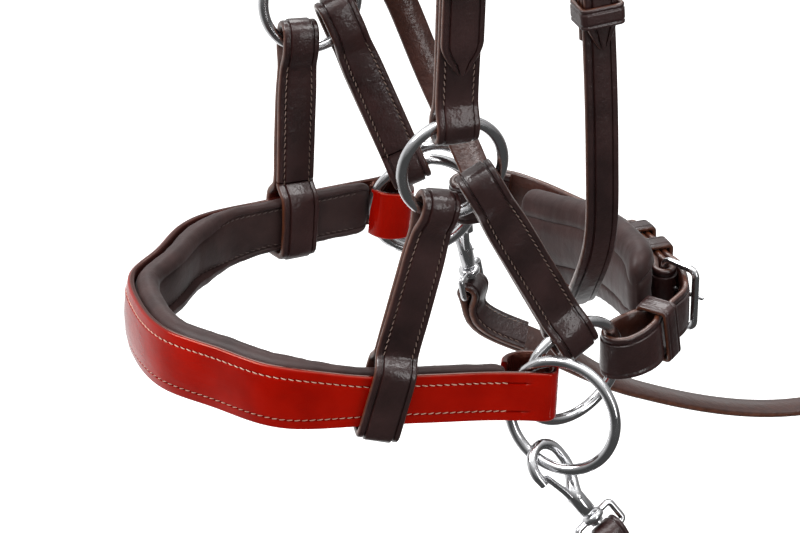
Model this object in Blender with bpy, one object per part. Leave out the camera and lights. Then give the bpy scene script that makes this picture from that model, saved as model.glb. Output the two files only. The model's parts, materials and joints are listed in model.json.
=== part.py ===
"""A sidepull bridle hung by its crown, in metres, +Z up, +X the near side, the nose towards -Y.

The origin is under the poll pad, where a bridle bracket carries it. Straps are real strips of
leather that follow a route and fold back round the ring or the buckle bar that they hold.
"""
import math
from collections import namedtuple

import bpy
import bmesh
from mathutils import Matrix, Vector

# Leather sizes
GAP = 0.0003
STRAP_WIDTH = 0.016
STRAP_THICK = 0.0028
BILLET_THICK = 0.0024
THROAT_WIDTH = 0.0125
CHIN_WIDTH = 0.019
REIN_WIDTH = 0.0127
KEEPER_THICK = 0.0018
KEEPER_LONG = 0.008
NECK = 0.007
POINT_LONG = 0.013
POINT_WIDTH = 0.004

# Steel rings: outside, wire, and where their centres hang on each side
UPPER_RING_OUTER = 0.0422
LOWER_RING_OUTER = 0.0465
RING_WIRE = 0.0042
UPPER_RING_SIDE = 0.082
UPPER_RING_FORE = 0.0098
UPPER_RING_DROP = 0.4302
UPPER_RING_LEAN = 6.0
NEAR_JUNCTION_SIDE = 0.0725
NEAR_JUNCTION_BACK = 0.0411
NEAR_JUNCTION_DROP = 0.5246
NEAR_JUNCTION_TURN = 15.6
NEAR_JUNCTION_LEAN = 8.6
FAR_JUNCTION_SIDE = 0.0765
FAR_JUNCTION_BACK = 0.0352
FAR_JUNCTION_DROP = 0.5218
FAR_JUNCTION_TURN = 6.7
FAR_JUNCTION_LEAN = -8.1
NEAR_REIN_RING_SIDE = 0.0942
NEAR_REIN_RING_BACK = 0.0289
NEAR_REIN_RING_DROP = 0.5304
NEAR_REIN_RING_TURN = -45.0
NEAR_REIN_RING_LEAN = -4.2
FAR_REIN_RING_SIDE = 0.0875
FAR_REIN_RING_BACK = 0.0400
FAR_REIN_RING_DROP = 0.5225
FAR_REIN_RING_TURN = -11.0
FAR_REIN_RING_LEAN = -3.0

# Noseband: plan of the patent strap's outer line, its heights and its layers
NOSE_HALF = 0.0838
NOSE_DEPTH = 0.1047
NOSE_BACK = 0.0280
NOSE_FLARE = 0.0072
NOSE_LEVEL = 0.5230
NOSE_RISE = 2.5
NOSE_END_HEIGHT = 0.0198
NOSE_FRONT_HEIGHT = 0.0250
NOSE_SHOULDER = 0.064
NOSE_SHOULDER_RUN = 0.026
PATENT_THICK = 0.0026
LINING_THICK = 0.0080
LINING_PROUD = 0.0010
LINING_END_RUN = 0.004
TUNNEL_LONG = 0.0190
TUNNEL_SKEW = 0.0045
TUNNEL_WIDE = 0.0175
TUNNEL_ROUND = 0.0050
TUNNEL_END = -0.0010

# Hangers: where they leave the upper ring, in degrees from its foot, and where they end
FRONT_HANGER_ANGLE = 18.0
REAR_HANGER_ANGLE = -46.0
HANGER_TOP_WIDTH = 0.0145
HANGER_TOP_RUN = 0.020
NEAR_HANGER_FOOT_BACK = -0.0335
FAR_HANGER_FOOT_BACK = -0.0210
NEAR_REAR_FOOT_ANGLE = 104.0
FAR_REAR_FOOT_ANGLE = 112.0
HANGER_EASE = 0.0009
HANGER_NECK = 0.0075
HANGER_SEAM_SHARE = 0.94

# Buckles
BUCKLE_WIRE = 0.0026
BUCKLE_LONG = 0.0150
BUCKLE_CORNER = 0.0030
BUCKLE_EASE = 0.0015
TONGUE_WIRE = 0.0022
TONGUE_EASE = 0.0005
BILLET_LEAD = 0.020

# Crown and poll pad, on a bracket of this radius with a flat top
BRACKET_RADIUS = 0.079
POLL_FLAT = 0.026
POLL_PAD_THICK = 0.0060
POLL_PAD_WIDTH = 0.044
POLL_PAD_ARC = 58.0
CROWN_WIDTH = 0.036
CROWN_THICK = 0.003
CROWN_ARC = 72.0
CROWN_SPLIT_DROP = 0.118
CROWN_SIDE = 0.0905
TAIL_PART = 0.0020

# Cheeks
CHEEK_LONG = 0.092
CHEEK_LEAN = 5.0
CHEEK_TIP = 0.021
CHEEK_KEEPER = 0.058
CHEEK_RUNNER = 0.073

# Throatlash: tops of its two ends, and its line between them
THROAT_SIDE = 0.0885
THROAT_BUCKLE_DROP = 0.338
THROAT_NEAR_BACK = 0.0375
THROAT_FAR_BACK = 0.0115
THROAT_BACK = 0.055
THROAT_DROP = 0.519
THROAT_TURN = 0.047
THROAT_TIP = 0.049
THROAT_KEEPER = 0.018
THROAT_RUNNER = 0.036

# Browband
BROW_DROP = 0.150
BROW_HEIGHT = 0.018
BROW_REACH = 0.108
BROW_SIDE = 0.0965
BROW_BACK = 0.026
BROW_LOOP_LONG = 0.056
BROW_LOOP_WIDE = 0.0090
BROW_LINING_THICK = 0.0060

# Chin strap and its pad
CHIN_BACK = 0.0925
CHIN_DROP = 0.5150
CHIN_TILT = 0.0100
CHIN_BAR_SIDE = 0.036
NEAR_CHIN_ANGLE = 8.0
CHIN_LOOP_LONG = 0.009
FAR_CHIN_ANGLE = 4.0
CHIN_TURN = 0.040
CHIN_BILLET_TURN = 0.024
CHIN_PAD_START = 0.026
CHIN_PAD_END = 0.026
CHIN_PAD_HEIGHT = 0.0370
CHIN_PAD_THICK = 0.0100
CHIN_TIP = 0.052
CHIN_KEEPER = 0.015
CHIN_RUNNER = 0.031
CHIN_FOLD_KEEPER = 0.0205
CHIN_FOLD_KEEPER_STAND = 0.0030

# Snap hooks: the bow, the shank, the gate and the swivelling eye
SNAP_BOW = 0.0058
SNAP_BOW_WIRE = 0.0040
SNAP_NOSE = 0.0036
SNAP_SHANK_WIRE = 0.0062
SNAP_SHANK_START = 0.0140
SNAP_SHANK_END = 0.0245
SNAP_NECK_WIRE = 0.0034
SNAP_HEAD = 0.0052
SNAP_HEAD_LONG = 0.0016
SNAP_COLLAR = 0.0084
SNAP_COLLAR_LONG = 0.0030
SNAP_EYE_WIRE = 0.0026
SNAP_EYE_DEEP = 0.0090
SNAP_EYE_CORNER = 0.0016
SNAP_EYE_EASE = 0.0009
NEAR_SNAP_ANGLE = -102.0
FAR_SNAP_ANGLE = -42.0
NEAR_SNAP_AXIS = (0.30, 0.56, -0.77)
FAR_SNAP_AXIS = (-0.05, 0.20, -0.98)
NEAR_EYE_FACING = (0.93, 0.16, 0.21)
FAR_EYE_FACING = (-0.70, -0.69, -0.16)
GATE_PIN = 0.0014
GATE_PIN_ALONG = 0.0165
GATE_SLOT_RUN = 0.0075
GATE_PIN_ASIDE = 0.0009
GATE_KNUCKLE = 0.0034
GATE_WIDTH = 0.0030
GATE_THICK = 0.0015
GATE_END_ALONG = 0.0026
GATE_END_ASIDE = 0.0049

# Reins
REIN_SIDE = 0.088
REIN_LOW = 0.651
REIN_REACH = 0.520
REIN_TOP_BACK = 0.052
REIN_ARC = 84.0
REIN_BUCKLE_DROP = 0.128
REIN_BUCKLE_SIDE = 0.0825
REIN_TURN = 0.046
REIN_TIP = 0.048
REIN_KEEPER = 0.017
REIN_RUNNER = 0.031
SNAP_TURN = 0.036

# Counts
RING_STEPS = 26
RING_SIDES = 8
WIRE_SIDES = 6
TURN_STEPS = 5
WINDOW_STEPS = 30
WINDOW_ANGLE = 45.0

LAYER = (STRAP_THICK + GAP) / 2
DOUBLED = (-LAYER, LAYER)
FACE = STRAP_THICK + GAP / 2
ARC_DROP = math.sqrt(BRACKET_RADIUS ** 2 - (POLL_FLAT / 2) ** 2)

LEATHER_BROWN = (0.035, 0.017, 0.013, 1.0)
LEATHER_SOFT = (0.060, 0.032, 0.028, 1.0)
PATENT_RED = (0.300, 0.012, 0.006, 1.0)
STEEL_BRIGHT = (0.780, 0.770, 0.750, 1.0)

FINISHES = {
    "leather": (LEATHER_BROWN, 0.0, 0.45),
    "soft": (LEATHER_SOFT, 0.0, 0.60),
    "patent": (PATENT_RED, 0.0, 0.12),
    "steel": (STEEL_BRIGHT, 1.0, 0.18),
}

Ring = namedtuple("Ring", "centre rear up normal radius")


def clear_scene():
    for old in list(bpy.data.objects):
        bpy.data.objects.remove(old, do_unlink=True)


def finish_of(name, colour, metallic, roughness):
    """One Principled material for one piece."""
    made = bpy.data.materials.new(name)
    made.use_nodes = True
    shader = made.node_tree.nodes["Principled BSDF"]
    shader.inputs["Base Color"].default_value = colour
    shader.inputs["Metallic"].default_value = metallic
    shader.inputs["Roughness"].default_value = roughness
    return made


def place(name, mesh, finish, origin=None):
    """An object for a mesh in world coordinates, with its origin moved to a point."""
    origin = origin or Vector()
    mesh.transform(Matrix.Translation(-origin))
    mesh.shade_smooth()
    mesh.set_sharp_from_angle(angle=math.radians(40))
    obj = bpy.data.objects.new(name, mesh)
    obj.location = origin
    mesh.materials.append(finish_of(name, *FINISHES[finish]))
    bpy.context.scene.collection.objects.link(obj)
    return obj


def skin_mesh(name, sections, closed=False):
    """A closed mesh through a row of sections with the same number of points."""
    bm = bmesh.new()
    rows = [[bm.verts.new(point) for point in section] for section in sections]
    pairs = list(zip(rows, rows[1:])) + ([(rows[-1], rows[0])] if closed else [])
    for one, two in pairs:
        for k, corner in enumerate(one):
            after = (k + 1) % len(one)
            bm.faces.new((corner, one[after], two[after], two[k]))
    if not closed:
        bm.faces.new(rows[0])
        bm.faces.new(rows[-1])
    return finished(bm, name)


def finished(bm, name):
    bmesh.ops.recalc_face_normals(bm, faces=bm.faces)
    mesh = bpy.data.meshes.new(name)
    bm.to_mesh(mesh)
    bm.free()
    return mesh


def skin(name, sections, finish, closed=False, origin=None):
    return place(name, skin_mesh(name, sections, closed), finish, origin)


def join_shape(obj, name, mesh, operation):
    """Cuts a shape out of an object, or adds it to the object."""
    tool = bpy.data.objects.new(name, mesh)
    tool.hide_render = True
    tool.display_type = "WIRE"
    bpy.context.scene.collection.objects.link(tool)
    change = obj.modifiers.new(name, "BOOLEAN")
    change.operation = operation
    change.object = tool


def cut_box(obj, name, centre, axes, sizes):
    """Cuts a box out of an object. axes are the box's directions and sizes its lengths."""
    sections = []
    for hand in (-1, 1):
        corners = ((-1, -1), (1, -1), (1, 1), (-1, 1))
        sections.append([centre + axes[0] * (sizes[0] / 2 * hand) + axes[1] * (sizes[1] / 2 * one)
                         + axes[2] * (sizes[2] / 2 * two) for one, two in corners])
    join_shape(obj, name, skin_mesh(name, sections), "DIFFERENCE")


def rod_mesh(name, start, end, radius, sides):
    """A plain round rod between two points."""
    way = (end - start).normalized()
    side = way.orthogonal().normalized()
    other = way.cross(side)
    circle = []
    for k in range(sides):
        turn = 2 * math.pi * k / sides
        circle.append(side * (radius * math.cos(turn)) + other * (radius * math.sin(turn)))
    return skin_mesh(name, [[start + arm for arm in circle], [end + arm for arm in circle]])


class Route:
    """A smooth line through points, with the direction that a strap's outer face looks in."""

    def __init__(self, points, outs, fine=12):
        points = [Vector(point) for point in points]
        outs = [Vector(out).normalized() for out in outs]
        self.points, self.outs = [], []
        last = len(points) - 1
        for k in range(last):
            before = points[k - 1] if k else points[0] * 2 - points[1]
            after = points[k + 2] if k + 2 <= last else points[last] * 2 - points[last - 1]
            for j in range(fine):
                share = j / fine
                self.points.append(self.between(before, points[k], points[k + 1], after, share))
                self.outs.append(outs[k].lerp(outs[k + 1], share))
        self.points.append(points[-1])
        self.outs.append(outs[-1])
        self.at = [0.0]
        for one, two in zip(self.points, self.points[1:]):
            self.at.append(self.at[-1] + (two - one).length)
        self.length = self.at[-1]

    @staticmethod
    def between(before, start, end, after, share):
        """A centripetal curve from start to end."""
        t = [0.0]
        for one, two in ((before, start), (start, end), (end, after)):
            t.append(t[-1] + math.sqrt((two - one).length))
        x = t[1] + (t[2] - t[1]) * share

        def mix(a, b, ta, tb):
            return a * ((tb - x) / (tb - ta)) + b * ((x - ta) / (tb - ta))

        first = mix(before, start, t[0], t[1])
        second = mix(start, end, t[1], t[2])
        third = mix(end, after, t[2], t[3])
        left = mix(first, second, t[0], t[2])
        right = mix(second, third, t[1], t[3])
        return mix(left, right, t[1], t[2])

    def direction(self, k):
        k = min(max(k, 0), len(self.points) - 2)
        return (self.points[k + 1] - self.points[k]).normalized()

    def frame(self, along):
        """The point, and the directions along, out of the face and across the strap."""
        k = 0
        while k < len(self.at) - 2 and self.at[k + 1] < along:
            k += 1
        span = self.at[k + 1] - self.at[k]
        share = (along - self.at[k]) / span
        held = min(max(share, 0.0), 1.0)
        line = self.direction(k)
        beside = self.direction(k + 1) if held > 0.5 else self.direction(k - 1)
        way = line.lerp(beside, abs(held - 0.5)).normalized()
        point = self.points[k] + line * (span * share)
        out = self.outs[k].lerp(self.outs[k + 1], held)
        out = (out - way * out.dot(way)).normalized()
        return point, way, out, way.cross(out)

    def spot(self, along, out, across=0.0):
        point, way, normal, side = self.frame(along)
        return point + normal * out + side * across


def turned(centre_along, centre_out, deep, high, start, end, steps):
    """Points round part of an ellipse. Angles are in degrees, from +along towards +out."""
    points = []
    for k in range(steps + 1):
        turn = math.radians(start + (end - start) * k / steps)
        points.append((centre_along + deep * math.cos(turn), centre_out + high * math.sin(turn)))
    return points


def thinned(line):
    """The line without points that sit on one another."""
    kept = line[:1]
    for point in line[1:]:
        if math.dist(point, kept[-1]) > GAP / 2:
            kept.append(point)
    return kept


def eye(centre, way, near, far, inner, outer, corner, layers, neck=NECK):
    """The line of a strap round what it holds, as (along, out) from the inner layer to the outer.

    way is 1 where the fold closes towards the route's end. near and far reach from the centre
    to the start of the straight sides and to the closing run, inner and outer stand each side.
    """
    low, high = layers
    start = centre - way * near
    middle = centre + way * (far - corner)
    first, second = ((270, 360), (0, 90)) if way > 0 else ((270, 180), (180, 90))
    line = [(start - way * neck, low), (start - way * neck / 2, (low - inner) / 2), (start, -inner)]
    line += turned(middle, corner - inner, corner, corner, *first, TURN_STEPS)
    line += turned(middle, outer - corner, corner, corner, *second, TURN_STEPS)
    line += [(start, outer), (start - way * neck / 2, (high + outer) / 2), (start - way * neck, high)]
    return thinned(line)


def run(start, end, out, count):
    """Points along one layer, both ends left out."""
    return [(start + (end - start) * k / (count + 1), out) for k in range(1, count + 1)]


def quads(route, line, width, thick, rise=None, hands=(1, 1)):
    """The cross sections of a strip that follows (along, out) points on a route.

    hands turn the order of the corners, across the strap and through its thickness.
    """
    width_at = width if callable(width) else (lambda along: width)
    rise_at = rise or (lambda along: 0.0)
    sections = []
    for k, (along, out) in enumerate(line):
        before = line[max(k - 1, 0)]
        after = line[min(k + 1, len(line) - 1)]
        step = Vector((after[0] - before[0], after[1] - before[1])).normalized()
        bend = 1.0
        if 0 < k < len(line) - 1:
            one = Vector((along - before[0], out - before[1])).normalized()
            bend = max(one.dot(step), 0.5)
        point, way, normal, side = route.frame(along)
        face = (normal * step.x - way * step.y) * (thick / 2 / bend) * hands[1]
        middle = point + normal * out + side * rise_at(along)
        half = side * (width_at(along) / 2) * hands[0]
        corners = ((1, 1), (-1, 1), (-1, -1), (1, -1))
        sections.append([middle + half * hand + face * level for hand, level in corners])
    return sections


def strap(name, route, line, width, thick, finish, rise=None):
    """A strip of leather along a line on a route. width and rise may vary."""
    return skin(name, quads(route, line, width, thick, rise), finish)


def pad(name, route, start, end, out, width, thick, finish, count, rise=None, ends=0.3, end_run=POINT_LONG):
    """A soft strip with round edges that draws in at both ends."""
    width_at = width if callable(width) else (lambda along: width)
    rise_at = rise or (lambda along: 0.0)
    corner_shares = ((0.86, 0.0), (1.0, 0.5), (0.86, 1.0))
    sections = []
    stations = [start + (end - start) * k / count for k in range(count + 1)]
    stations += [start + end_run / 3, start + end_run, end - end_run / 3, end - end_run]
    for along in sorted(set(stations)):
        edge = min(along - start, end - along)
        swell = 1 - (1 - ends) * max(0.0, 1 - edge / end_run) ** 2
        point, way, normal, side = route.frame(along)
        half = width_at(along) / 2
        top = out + thick / 2
        section = []
        for across_share, depth_share in corner_shares:
            section.append((half * across_share, top - thick * swell * depth_share))
        for across_share, depth_share in reversed(corner_shares):
            section.append((-half * across_share, top - thick * swell * depth_share))
        middle = point + side * rise_at(along)
        sections.append([middle + side * across + normal * depth for across, depth in section])
    return skin(name, sections, finish)


def wire_sections(points, radii, sides, first_side, closed=False):
    """Round sections along a line of points, kept from twisting."""
    sections = []
    side = Vector(first_side)
    count = len(points)
    for k, point in enumerate(points):
        before = points[k - 1] if k or closed else point
        after = points[(k + 1) % count] if k < count - 1 or closed else point
        way = (after - before).normalized()
        side = (side - way * side.dot(way)).normalized()
        other = way.cross(side)
        section = []
        for j in range(sides):
            turn = 2 * math.pi * (j + 0.5) / sides
            section.append(point + side * (radii[k] * math.cos(turn)) + other * (radii[k] * math.sin(turn)))
        sections.append(section)
    return sections


def ring_at(side, across, back, drop, turn, lean, outer):
    """A ring's centre, its directions round (rear and up) and out, and its wire's radius."""
    centre = Vector((side * across, back, -drop))
    yaw = math.radians(turn)
    roll = math.radians(lean)
    normal = Vector((side * math.cos(yaw) * math.cos(roll), math.sin(yaw) * math.cos(roll), -math.sin(roll)))
    rear = (Vector((0, 0, 1)).cross(normal) * side).normalized()
    up = normal.cross(rear) * side
    return Ring(centre, rear, up, normal, (outer - RING_WIRE) / 2)


def on_ring(ring, angle):
    """A point on the wire's centre line, from the rear upwards, and the wire's direction there."""
    turn = math.radians(angle)
    arm = ring.rear * math.cos(turn) + ring.up * math.sin(turn)
    tangent = ring.up * math.cos(turn) - ring.rear * math.sin(turn)
    return ring.centre + arm * ring.radius, arm, tangent


def make_ring(name, ring):
    """A welded steel ring, turned round its centre."""
    sections = []
    for k in range(RING_STEPS):
        turn = 2 * math.pi * k / RING_STEPS
        arm = ring.rear * math.cos(turn) + ring.up * math.sin(turn)
        section = []
        for j in range(RING_SIDES):
            round_wire = 2 * math.pi * j / RING_SIDES
            reach = ring.radius + RING_WIRE / 2 * math.cos(round_wire)
            section.append(ring.centre + arm * reach + ring.normal * (RING_WIRE / 2 * math.sin(round_wire)))
        sections.append(section)
    return skin(name, sections, "steel", closed=True, origin=ring.centre)


def bar_eye(centre, way, layers, wire=BUCKLE_WIRE):
    """A fold round a buckle's bar."""
    reach = wire / 2 + GAP * 2 + STRAP_THICK / 2
    return eye(centre, way, 0.0, reach, reach, reach, reach, layers)


def ring_eye(route, place_along, way, layers, ring, angle, width=STRAP_WIDTH, room=0.0):
    """A fold round a ring's wire, as roomy as the wire's bow needs across the strap's width."""
    point, line, out, across = route.frame(place_along)
    reach = RING_WIRE / 2 + GAP * 2 + STRAP_THICK / 2
    alongs, outs = [], []
    for step in range(-WINDOW_STEPS, WINDOW_STEPS + 1):
        wire = on_ring(ring, angle + WINDOW_ANGLE * step / WINDOW_STEPS)[0] - point
        if abs(wire.dot(across)) <= (width + RING_WIRE) / 2:
            alongs.append(wire.dot(line))
            outs.append(wire.dot(out))
    low, high = min(alongs), max(alongs)
    centre = place_along + (low + high) / 2
    slot = (high - low) / 2
    return eye(centre, way, slot + room, slot + reach, reach - min(outs), reach + max(outs), reach, layers)


def bar_tilt(billet_out, billet_thick):
    """How far a buckle's end bar leans and stands out, over the billet that it holds down."""
    stand = billet_out + billet_thick / 2 + GAP + BUCKLE_WIRE / 2
    return math.asin(stand / BUCKLE_LONG)


def buckle_stack(thick):
    """How far out the billet lies over the fold round a buckle's bar."""
    return BUCKLE_WIRE / 2 + GAP * 3 + STRAP_THICK + thick / 2


def make_buckle(names, route, bar, way, strap_width, billet_thick):
    """A wire frame on a bar at a place along a route, and its tongue. way points to the billet."""
    point, along, out, across = route.frame(bar)
    along = along * way
    tilt = bar_tilt(buckle_stack(billet_thick), billet_thick)
    reach = (along * math.cos(tilt) + out * math.sin(tilt)).normalized()
    lift = (out * math.cos(tilt) - along * math.sin(tilt)).normalized()
    half = strap_width / 2 + BUCKLE_EASE + BUCKLE_WIRE / 2
    points = []
    for at_end, hand, start in ((0, -1, 180), (1, -1, 270), (1, 1, 0), (0, 1, 90)):
        deep = BUCKLE_LONG - BUCKLE_CORNER if at_end else BUCKLE_CORNER
        aside = hand * (half - BUCKLE_CORNER)
        for f, a in turned(deep, aside, BUCKLE_CORNER, BUCKLE_CORNER, start, start + 90, 3):
            points.append(point + reach * f + across * a)
    radii = [BUCKLE_WIRE / 2] * len(points)
    skin(names[0], wire_sections(points, radii, WIRE_SIDES, lift, closed=True), "steel", closed=True)
    rest = BUCKLE_WIRE / 2 + GAP + TONGUE_WIRE / 2
    line = turned(0.0, 0.0, rest, rest, -15, -270, 8)
    line += [(BUCKLE_LONG * 0.3, rest), (BUCKLE_LONG, rest), (BUCKLE_LONG + TONGUE_WIRE, rest)]
    radii = [TONGUE_WIRE / 2] * (len(line) - 1) + [TONGUE_WIRE / 3]
    spots = [point + reach * f + lift * g for f, g in line]
    skin(names[1], wire_sections(spots, radii, WIRE_SIDES, across), "steel", origin=point)


def tongue_slot(obj, name, route, bar, way):
    """The slot in a fold that lets the tongue reach the buckle's bar."""
    point, along, out, across = route.frame(bar)
    wide = TONGUE_WIRE + TONGUE_EASE * 2
    fold = BUCKLE_WIRE / 2 + GAP + STRAP_THICK + GAP
    centre = point - along * (way * fold * 0.25)
    cut_box(obj, name, centre, (along, out, across), (fold * 2.5, fold * 2.5, wide))


def tongue_hole(obj, name, route, bar, way, billet_thick):
    """The hole in a billet that the tongue comes through, long enough for the tongue to lift."""
    point, along, out, across = route.frame(bar)
    along = along * way
    billet_out = buckle_stack(billet_thick)
    tilt = bar_tilt(billet_out, billet_thick)
    rest = BUCKLE_WIRE / 2 + GAP + TONGUE_WIRE / 2
    slope = math.tan(tilt)
    lean = TONGUE_WIRE / 2 / math.sin(tilt)
    under = (billet_out - billet_thick / 2 - rest / math.cos(tilt)) / slope
    over = (billet_out + billet_thick / 2 - rest / math.cos(tilt)) / slope
    start = under - lean - TONGUE_EASE * 3
    end = over + lean + TONGUE_EASE
    wide = TONGUE_WIRE + TONGUE_EASE * 2
    middle = point + along * ((start + end) / 2) + out * billet_out
    cut_box(obj, name, middle, (along, out, across), (end - start, billet_thick * 3, wide))


def make_keeper(name, route, middle, low, high, width, moving=False):
    """A leather loop round a stack of straps that lies between low and high on the route."""
    point, along, out, across = route.frame(middle)
    half = width / 2 + GAP + KEEPER_THICK / 2
    bottom = low - GAP - KEEPER_THICK / 2
    top = high + GAP + KEEPER_THICK / 2
    corner = KEEPER_THICK * 0.6
    wall = KEEPER_THICK / 2
    sections = []
    for hand, level, start in ((1, top - corner, 0), (-1, top - corner, 90), (-1, bottom + corner, 180),
                               (1, bottom + corner, 270)):
        centre = point + across * (hand * (half - corner)) + out * level
        for k in range(3):
            turn = math.radians(start + 45 * k)
            radial = across * math.cos(turn) + out * math.sin(turn)
            outer = centre + radial * (corner + wall)
            inner = centre + radial * (corner - wall)
            reach = along * (KEEPER_LONG / 2)
            sections.append([outer + reach, outer - reach, inner - reach, inner + reach])
    return skin(name, sections, "leather", closed=True, origin=point if moving else None)


def pointed(width, tip, way):
    """A strap's width near its pointed tip. way is 1 where the tip is at the route's end."""
    def width_at(along):
        left = max((tip - along) * way, 0.0)
        if left >= POINT_LONG:
            return width
        return POINT_WIDTH + (width - POINT_WIDTH) * math.sin(left / POINT_LONG * math.pi / 2)
    return width_at


def tip_run(tip, way, out):
    """Points close enough together to draw a pointed tip. way points to the tip."""
    long_shares = (1.0, 0.75, 0.5, 0.28, 0.1, 0.0)
    return [(tip - way * POINT_LONG * share, out) for share in long_shares]


def billet_line(bar, way, tip, thick, count=3):
    """A billet from beyond its buckle to its tip. way points from the bar to where it comes from."""
    over = buckle_stack(thick)
    rest = FACE + GAP + thick / 2
    rested = bar - way * NECK * 1.3
    line = [(bar + way * (BUCKLE_LONG + BILLET_LEAD), over), (bar + way * BUCKLE_LONG, over)]
    line += run(bar + way * BUCKLE_LONG, bar, over, 2)
    line += [(bar, over), (bar - way * NECK * 0.3, over), (rested, rest)]
    line += run(rested, tip + way * POINT_LONG, rest, count)
    return line + tip_run(tip, -way, rest)


def doubled_strap(name, route, low_eye, high_eye, width, seam_share=0.5):
    """One strip folded at both ends, its own ends meeting on the inner layer."""
    seam = low_eye[0][0] + (high_eye[-1][0] - low_eye[0][0]) * seam_share
    line = [(seam - GAP, -LAYER)] + low_eye
    line += run(low_eye[-1][0], high_eye[0][0], LAYER, 2) + high_eye + [(seam + GAP, -LAYER)]
    return strap(name, route, line, width, STRAP_THICK, "leather")


def step_between(value, start, end):
    """0 before start, 1 after end, smooth between."""
    share = min(max((value - start) / (end - start), 0.0), 1.0)
    return share * share * (3 - 2 * share)


def nearest_along(route, value, axis, start, end):
    """Where along a route a coordinate reaches a value, between two places."""
    for _ in range(40):
        middle = (start + end) / 2
        if (route.frame(middle)[0][axis] - value) * (route.frame(start)[0][axis] - value) <= 0:
            end = middle
        else:
            start = middle
    return (start + end) / 2


def mirrored_route(near, lift):
    """A route through points on the near side and their mirror images, lifted into place."""
    points = near + [Vector((-p.x, p.y, p.z)) for p in reversed(near[:-1])]
    outs = []
    for k, point in enumerate(points):
        before = points[max(k - 1, 0)]
        after = points[min(k + 1, len(points) - 1)]
        way = (after - before).normalized()
        outs.append(Vector((-way.y, way.x, 0)))
    return Route([lift @ point for point in points], [lift.to_3x3() @ out for out in outs])


def nose_route():
    """The patent strap's line round the nose, from the near fold to the far one."""
    plan_shares = ((1.0, 0.0, 1.0), (1.0, 0.09, 0.45), (1.0, 0.181, 0.0), (0.956, 0.347, 0.0),
                   (0.887, 0.573, 0.0), (0.764, 0.754, 0.0), (0.529, 0.873, 0.0), (0.292, 0.978, 0.0),
                   (0.0, 1.0, 0.0))
    near = []
    for across_share, deep_share, flare_share in plan_shares:
        across = NOSE_HALF * across_share + NOSE_FLARE * flare_share
        near.append(Vector((across, NOSE_BACK - (NOSE_DEPTH + NOSE_BACK) * deep_share, 0)))
    lift = Matrix.Translation(Vector((0, 0, -NOSE_LEVEL))) @ Matrix.Rotation(math.radians(-NOSE_RISE), 4, "X")
    return mirrored_route(near, lift)


def nose_height(route, along):
    near = step_between(along, NOSE_SHOULDER, NOSE_SHOULDER + NOSE_SHOULDER_RUN)
    far = step_between(route.length - along, NOSE_SHOULDER, NOSE_SHOULDER + NOSE_SHOULDER_RUN)
    return NOSE_END_HEIGHT + (NOSE_FRONT_HEIGHT - NOSE_END_HEIGHT) * near * far


def build_noseband(route):
    """A patent strap folded back at both ends for the rings, and its soft lining."""
    length = route.length
    start_out = (LINING_THICK + GAP) / TUNNEL_WIDE
    wide_shares = ((1.0, start_out), (0.9, 0.70), (0.74, 0.86), (0.5, 0.97), (0.32, 1.0))
    near = [(TUNNEL_LONG * along, -TUNNEL_WIDE * out) for along, out in wide_shares]
    near += turned(TUNNEL_ROUND + TUNNEL_END, -TUNNEL_WIDE / 2, TUNNEL_ROUND, TUNNEL_WIDE / 2, 260, 90, 8)
    near = [(along - out / TUNNEL_WIDE * TUNNEL_SKEW, out) for along, out in near]
    far = [(length - along, out) for along, out in reversed(near)]
    line = near + run(near[-1][0], far[0][0], 0.0, 44) + far

    def height(along):
        return nose_height(route, along)

    strap("noseband_patent_strap", route, line, height, PATENT_THICK, "patent")
    start = near[0][0] + GAP
    out = -(PATENT_THICK / 2 + GAP + LINING_THICK / 2)
    pad("noseband_lining", route, start, length - start, out, lambda along: height(along) + LINING_PROUD,
        LINING_THICK, "soft", 34, ends=0.8, end_run=LINING_END_RUN)


def hanger_width(along):
    """A hanger is drawn in a little where it shares the upper ring's foot."""
    return HANGER_TOP_WIDTH + (STRAP_WIDTH - HANGER_TOP_WIDTH) * step_between(along, 0.0, HANGER_TOP_RUN)


def build_front_hanger(name, side, upper, nose, foot_back):
    """From the upper ring down and round the noseband."""
    top = on_ring(upper, -90 - FRONT_HANGER_ANGLE)[0]
    ends = (0.0, nose.length / 2) if side > 0 else (nose.length, nose.length / 2)
    point, way, out, across = nose.frame(nearest_along(nose, foot_back, 1, *ends))
    stack = PATENT_THICK + GAP + LINING_THICK
    foot = point + out * (PATENT_THICK / 2 - stack / 2)
    down = (foot - top).normalized()
    route = Route([top, top.lerp(foot, 0.5), foot], [upper.normal, upper.normal.lerp(out, 0.5), out])
    stand = stack / 2 + GAP + HANGER_EASE + STRAP_THICK / 2
    near = (NOSE_END_HEIGHT + LINING_PROUD) / 2 / abs(down.dot(across)) + STRAP_WIDTH / 2 * abs(down.dot(way))
    near += HANGER_EASE
    reach = near + GAP + STRAP_THICK / 2
    low = eye(route.length, 1, near, reach, stand, stand, STRAP_THICK, DOUBLED, HANGER_NECK)
    high = ring_eye(route, 0.0, -1, DOUBLED, upper, -90 - FRONT_HANGER_ANGLE, HANGER_TOP_WIDTH)
    doubled_strap(name, route, high, low[::-1], hanger_width, HANGER_SEAM_SHARE)


def build_rear_hanger(name, upper, junction, foot_angle):
    """From the upper ring to the junction ring."""
    top = on_ring(upper, -90 - REAR_HANGER_ANGLE)[0]
    foot = on_ring(junction, foot_angle)[0]
    middle = upper.normal.lerp(junction.normal, 0.5)
    route = Route([top, top.lerp(foot, 0.5), foot], [upper.normal, middle, junction.normal])
    high = ring_eye(route, 0.0, -1, DOUBLED, upper, -90 - REAR_HANGER_ANGLE, HANGER_TOP_WIDTH)
    low = ring_eye(route, route.length, 1, DOUBLED, junction, foot_angle)
    doubled_strap(name, route, high, low[::-1], hanger_width, HANGER_SEAM_SHARE)


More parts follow.
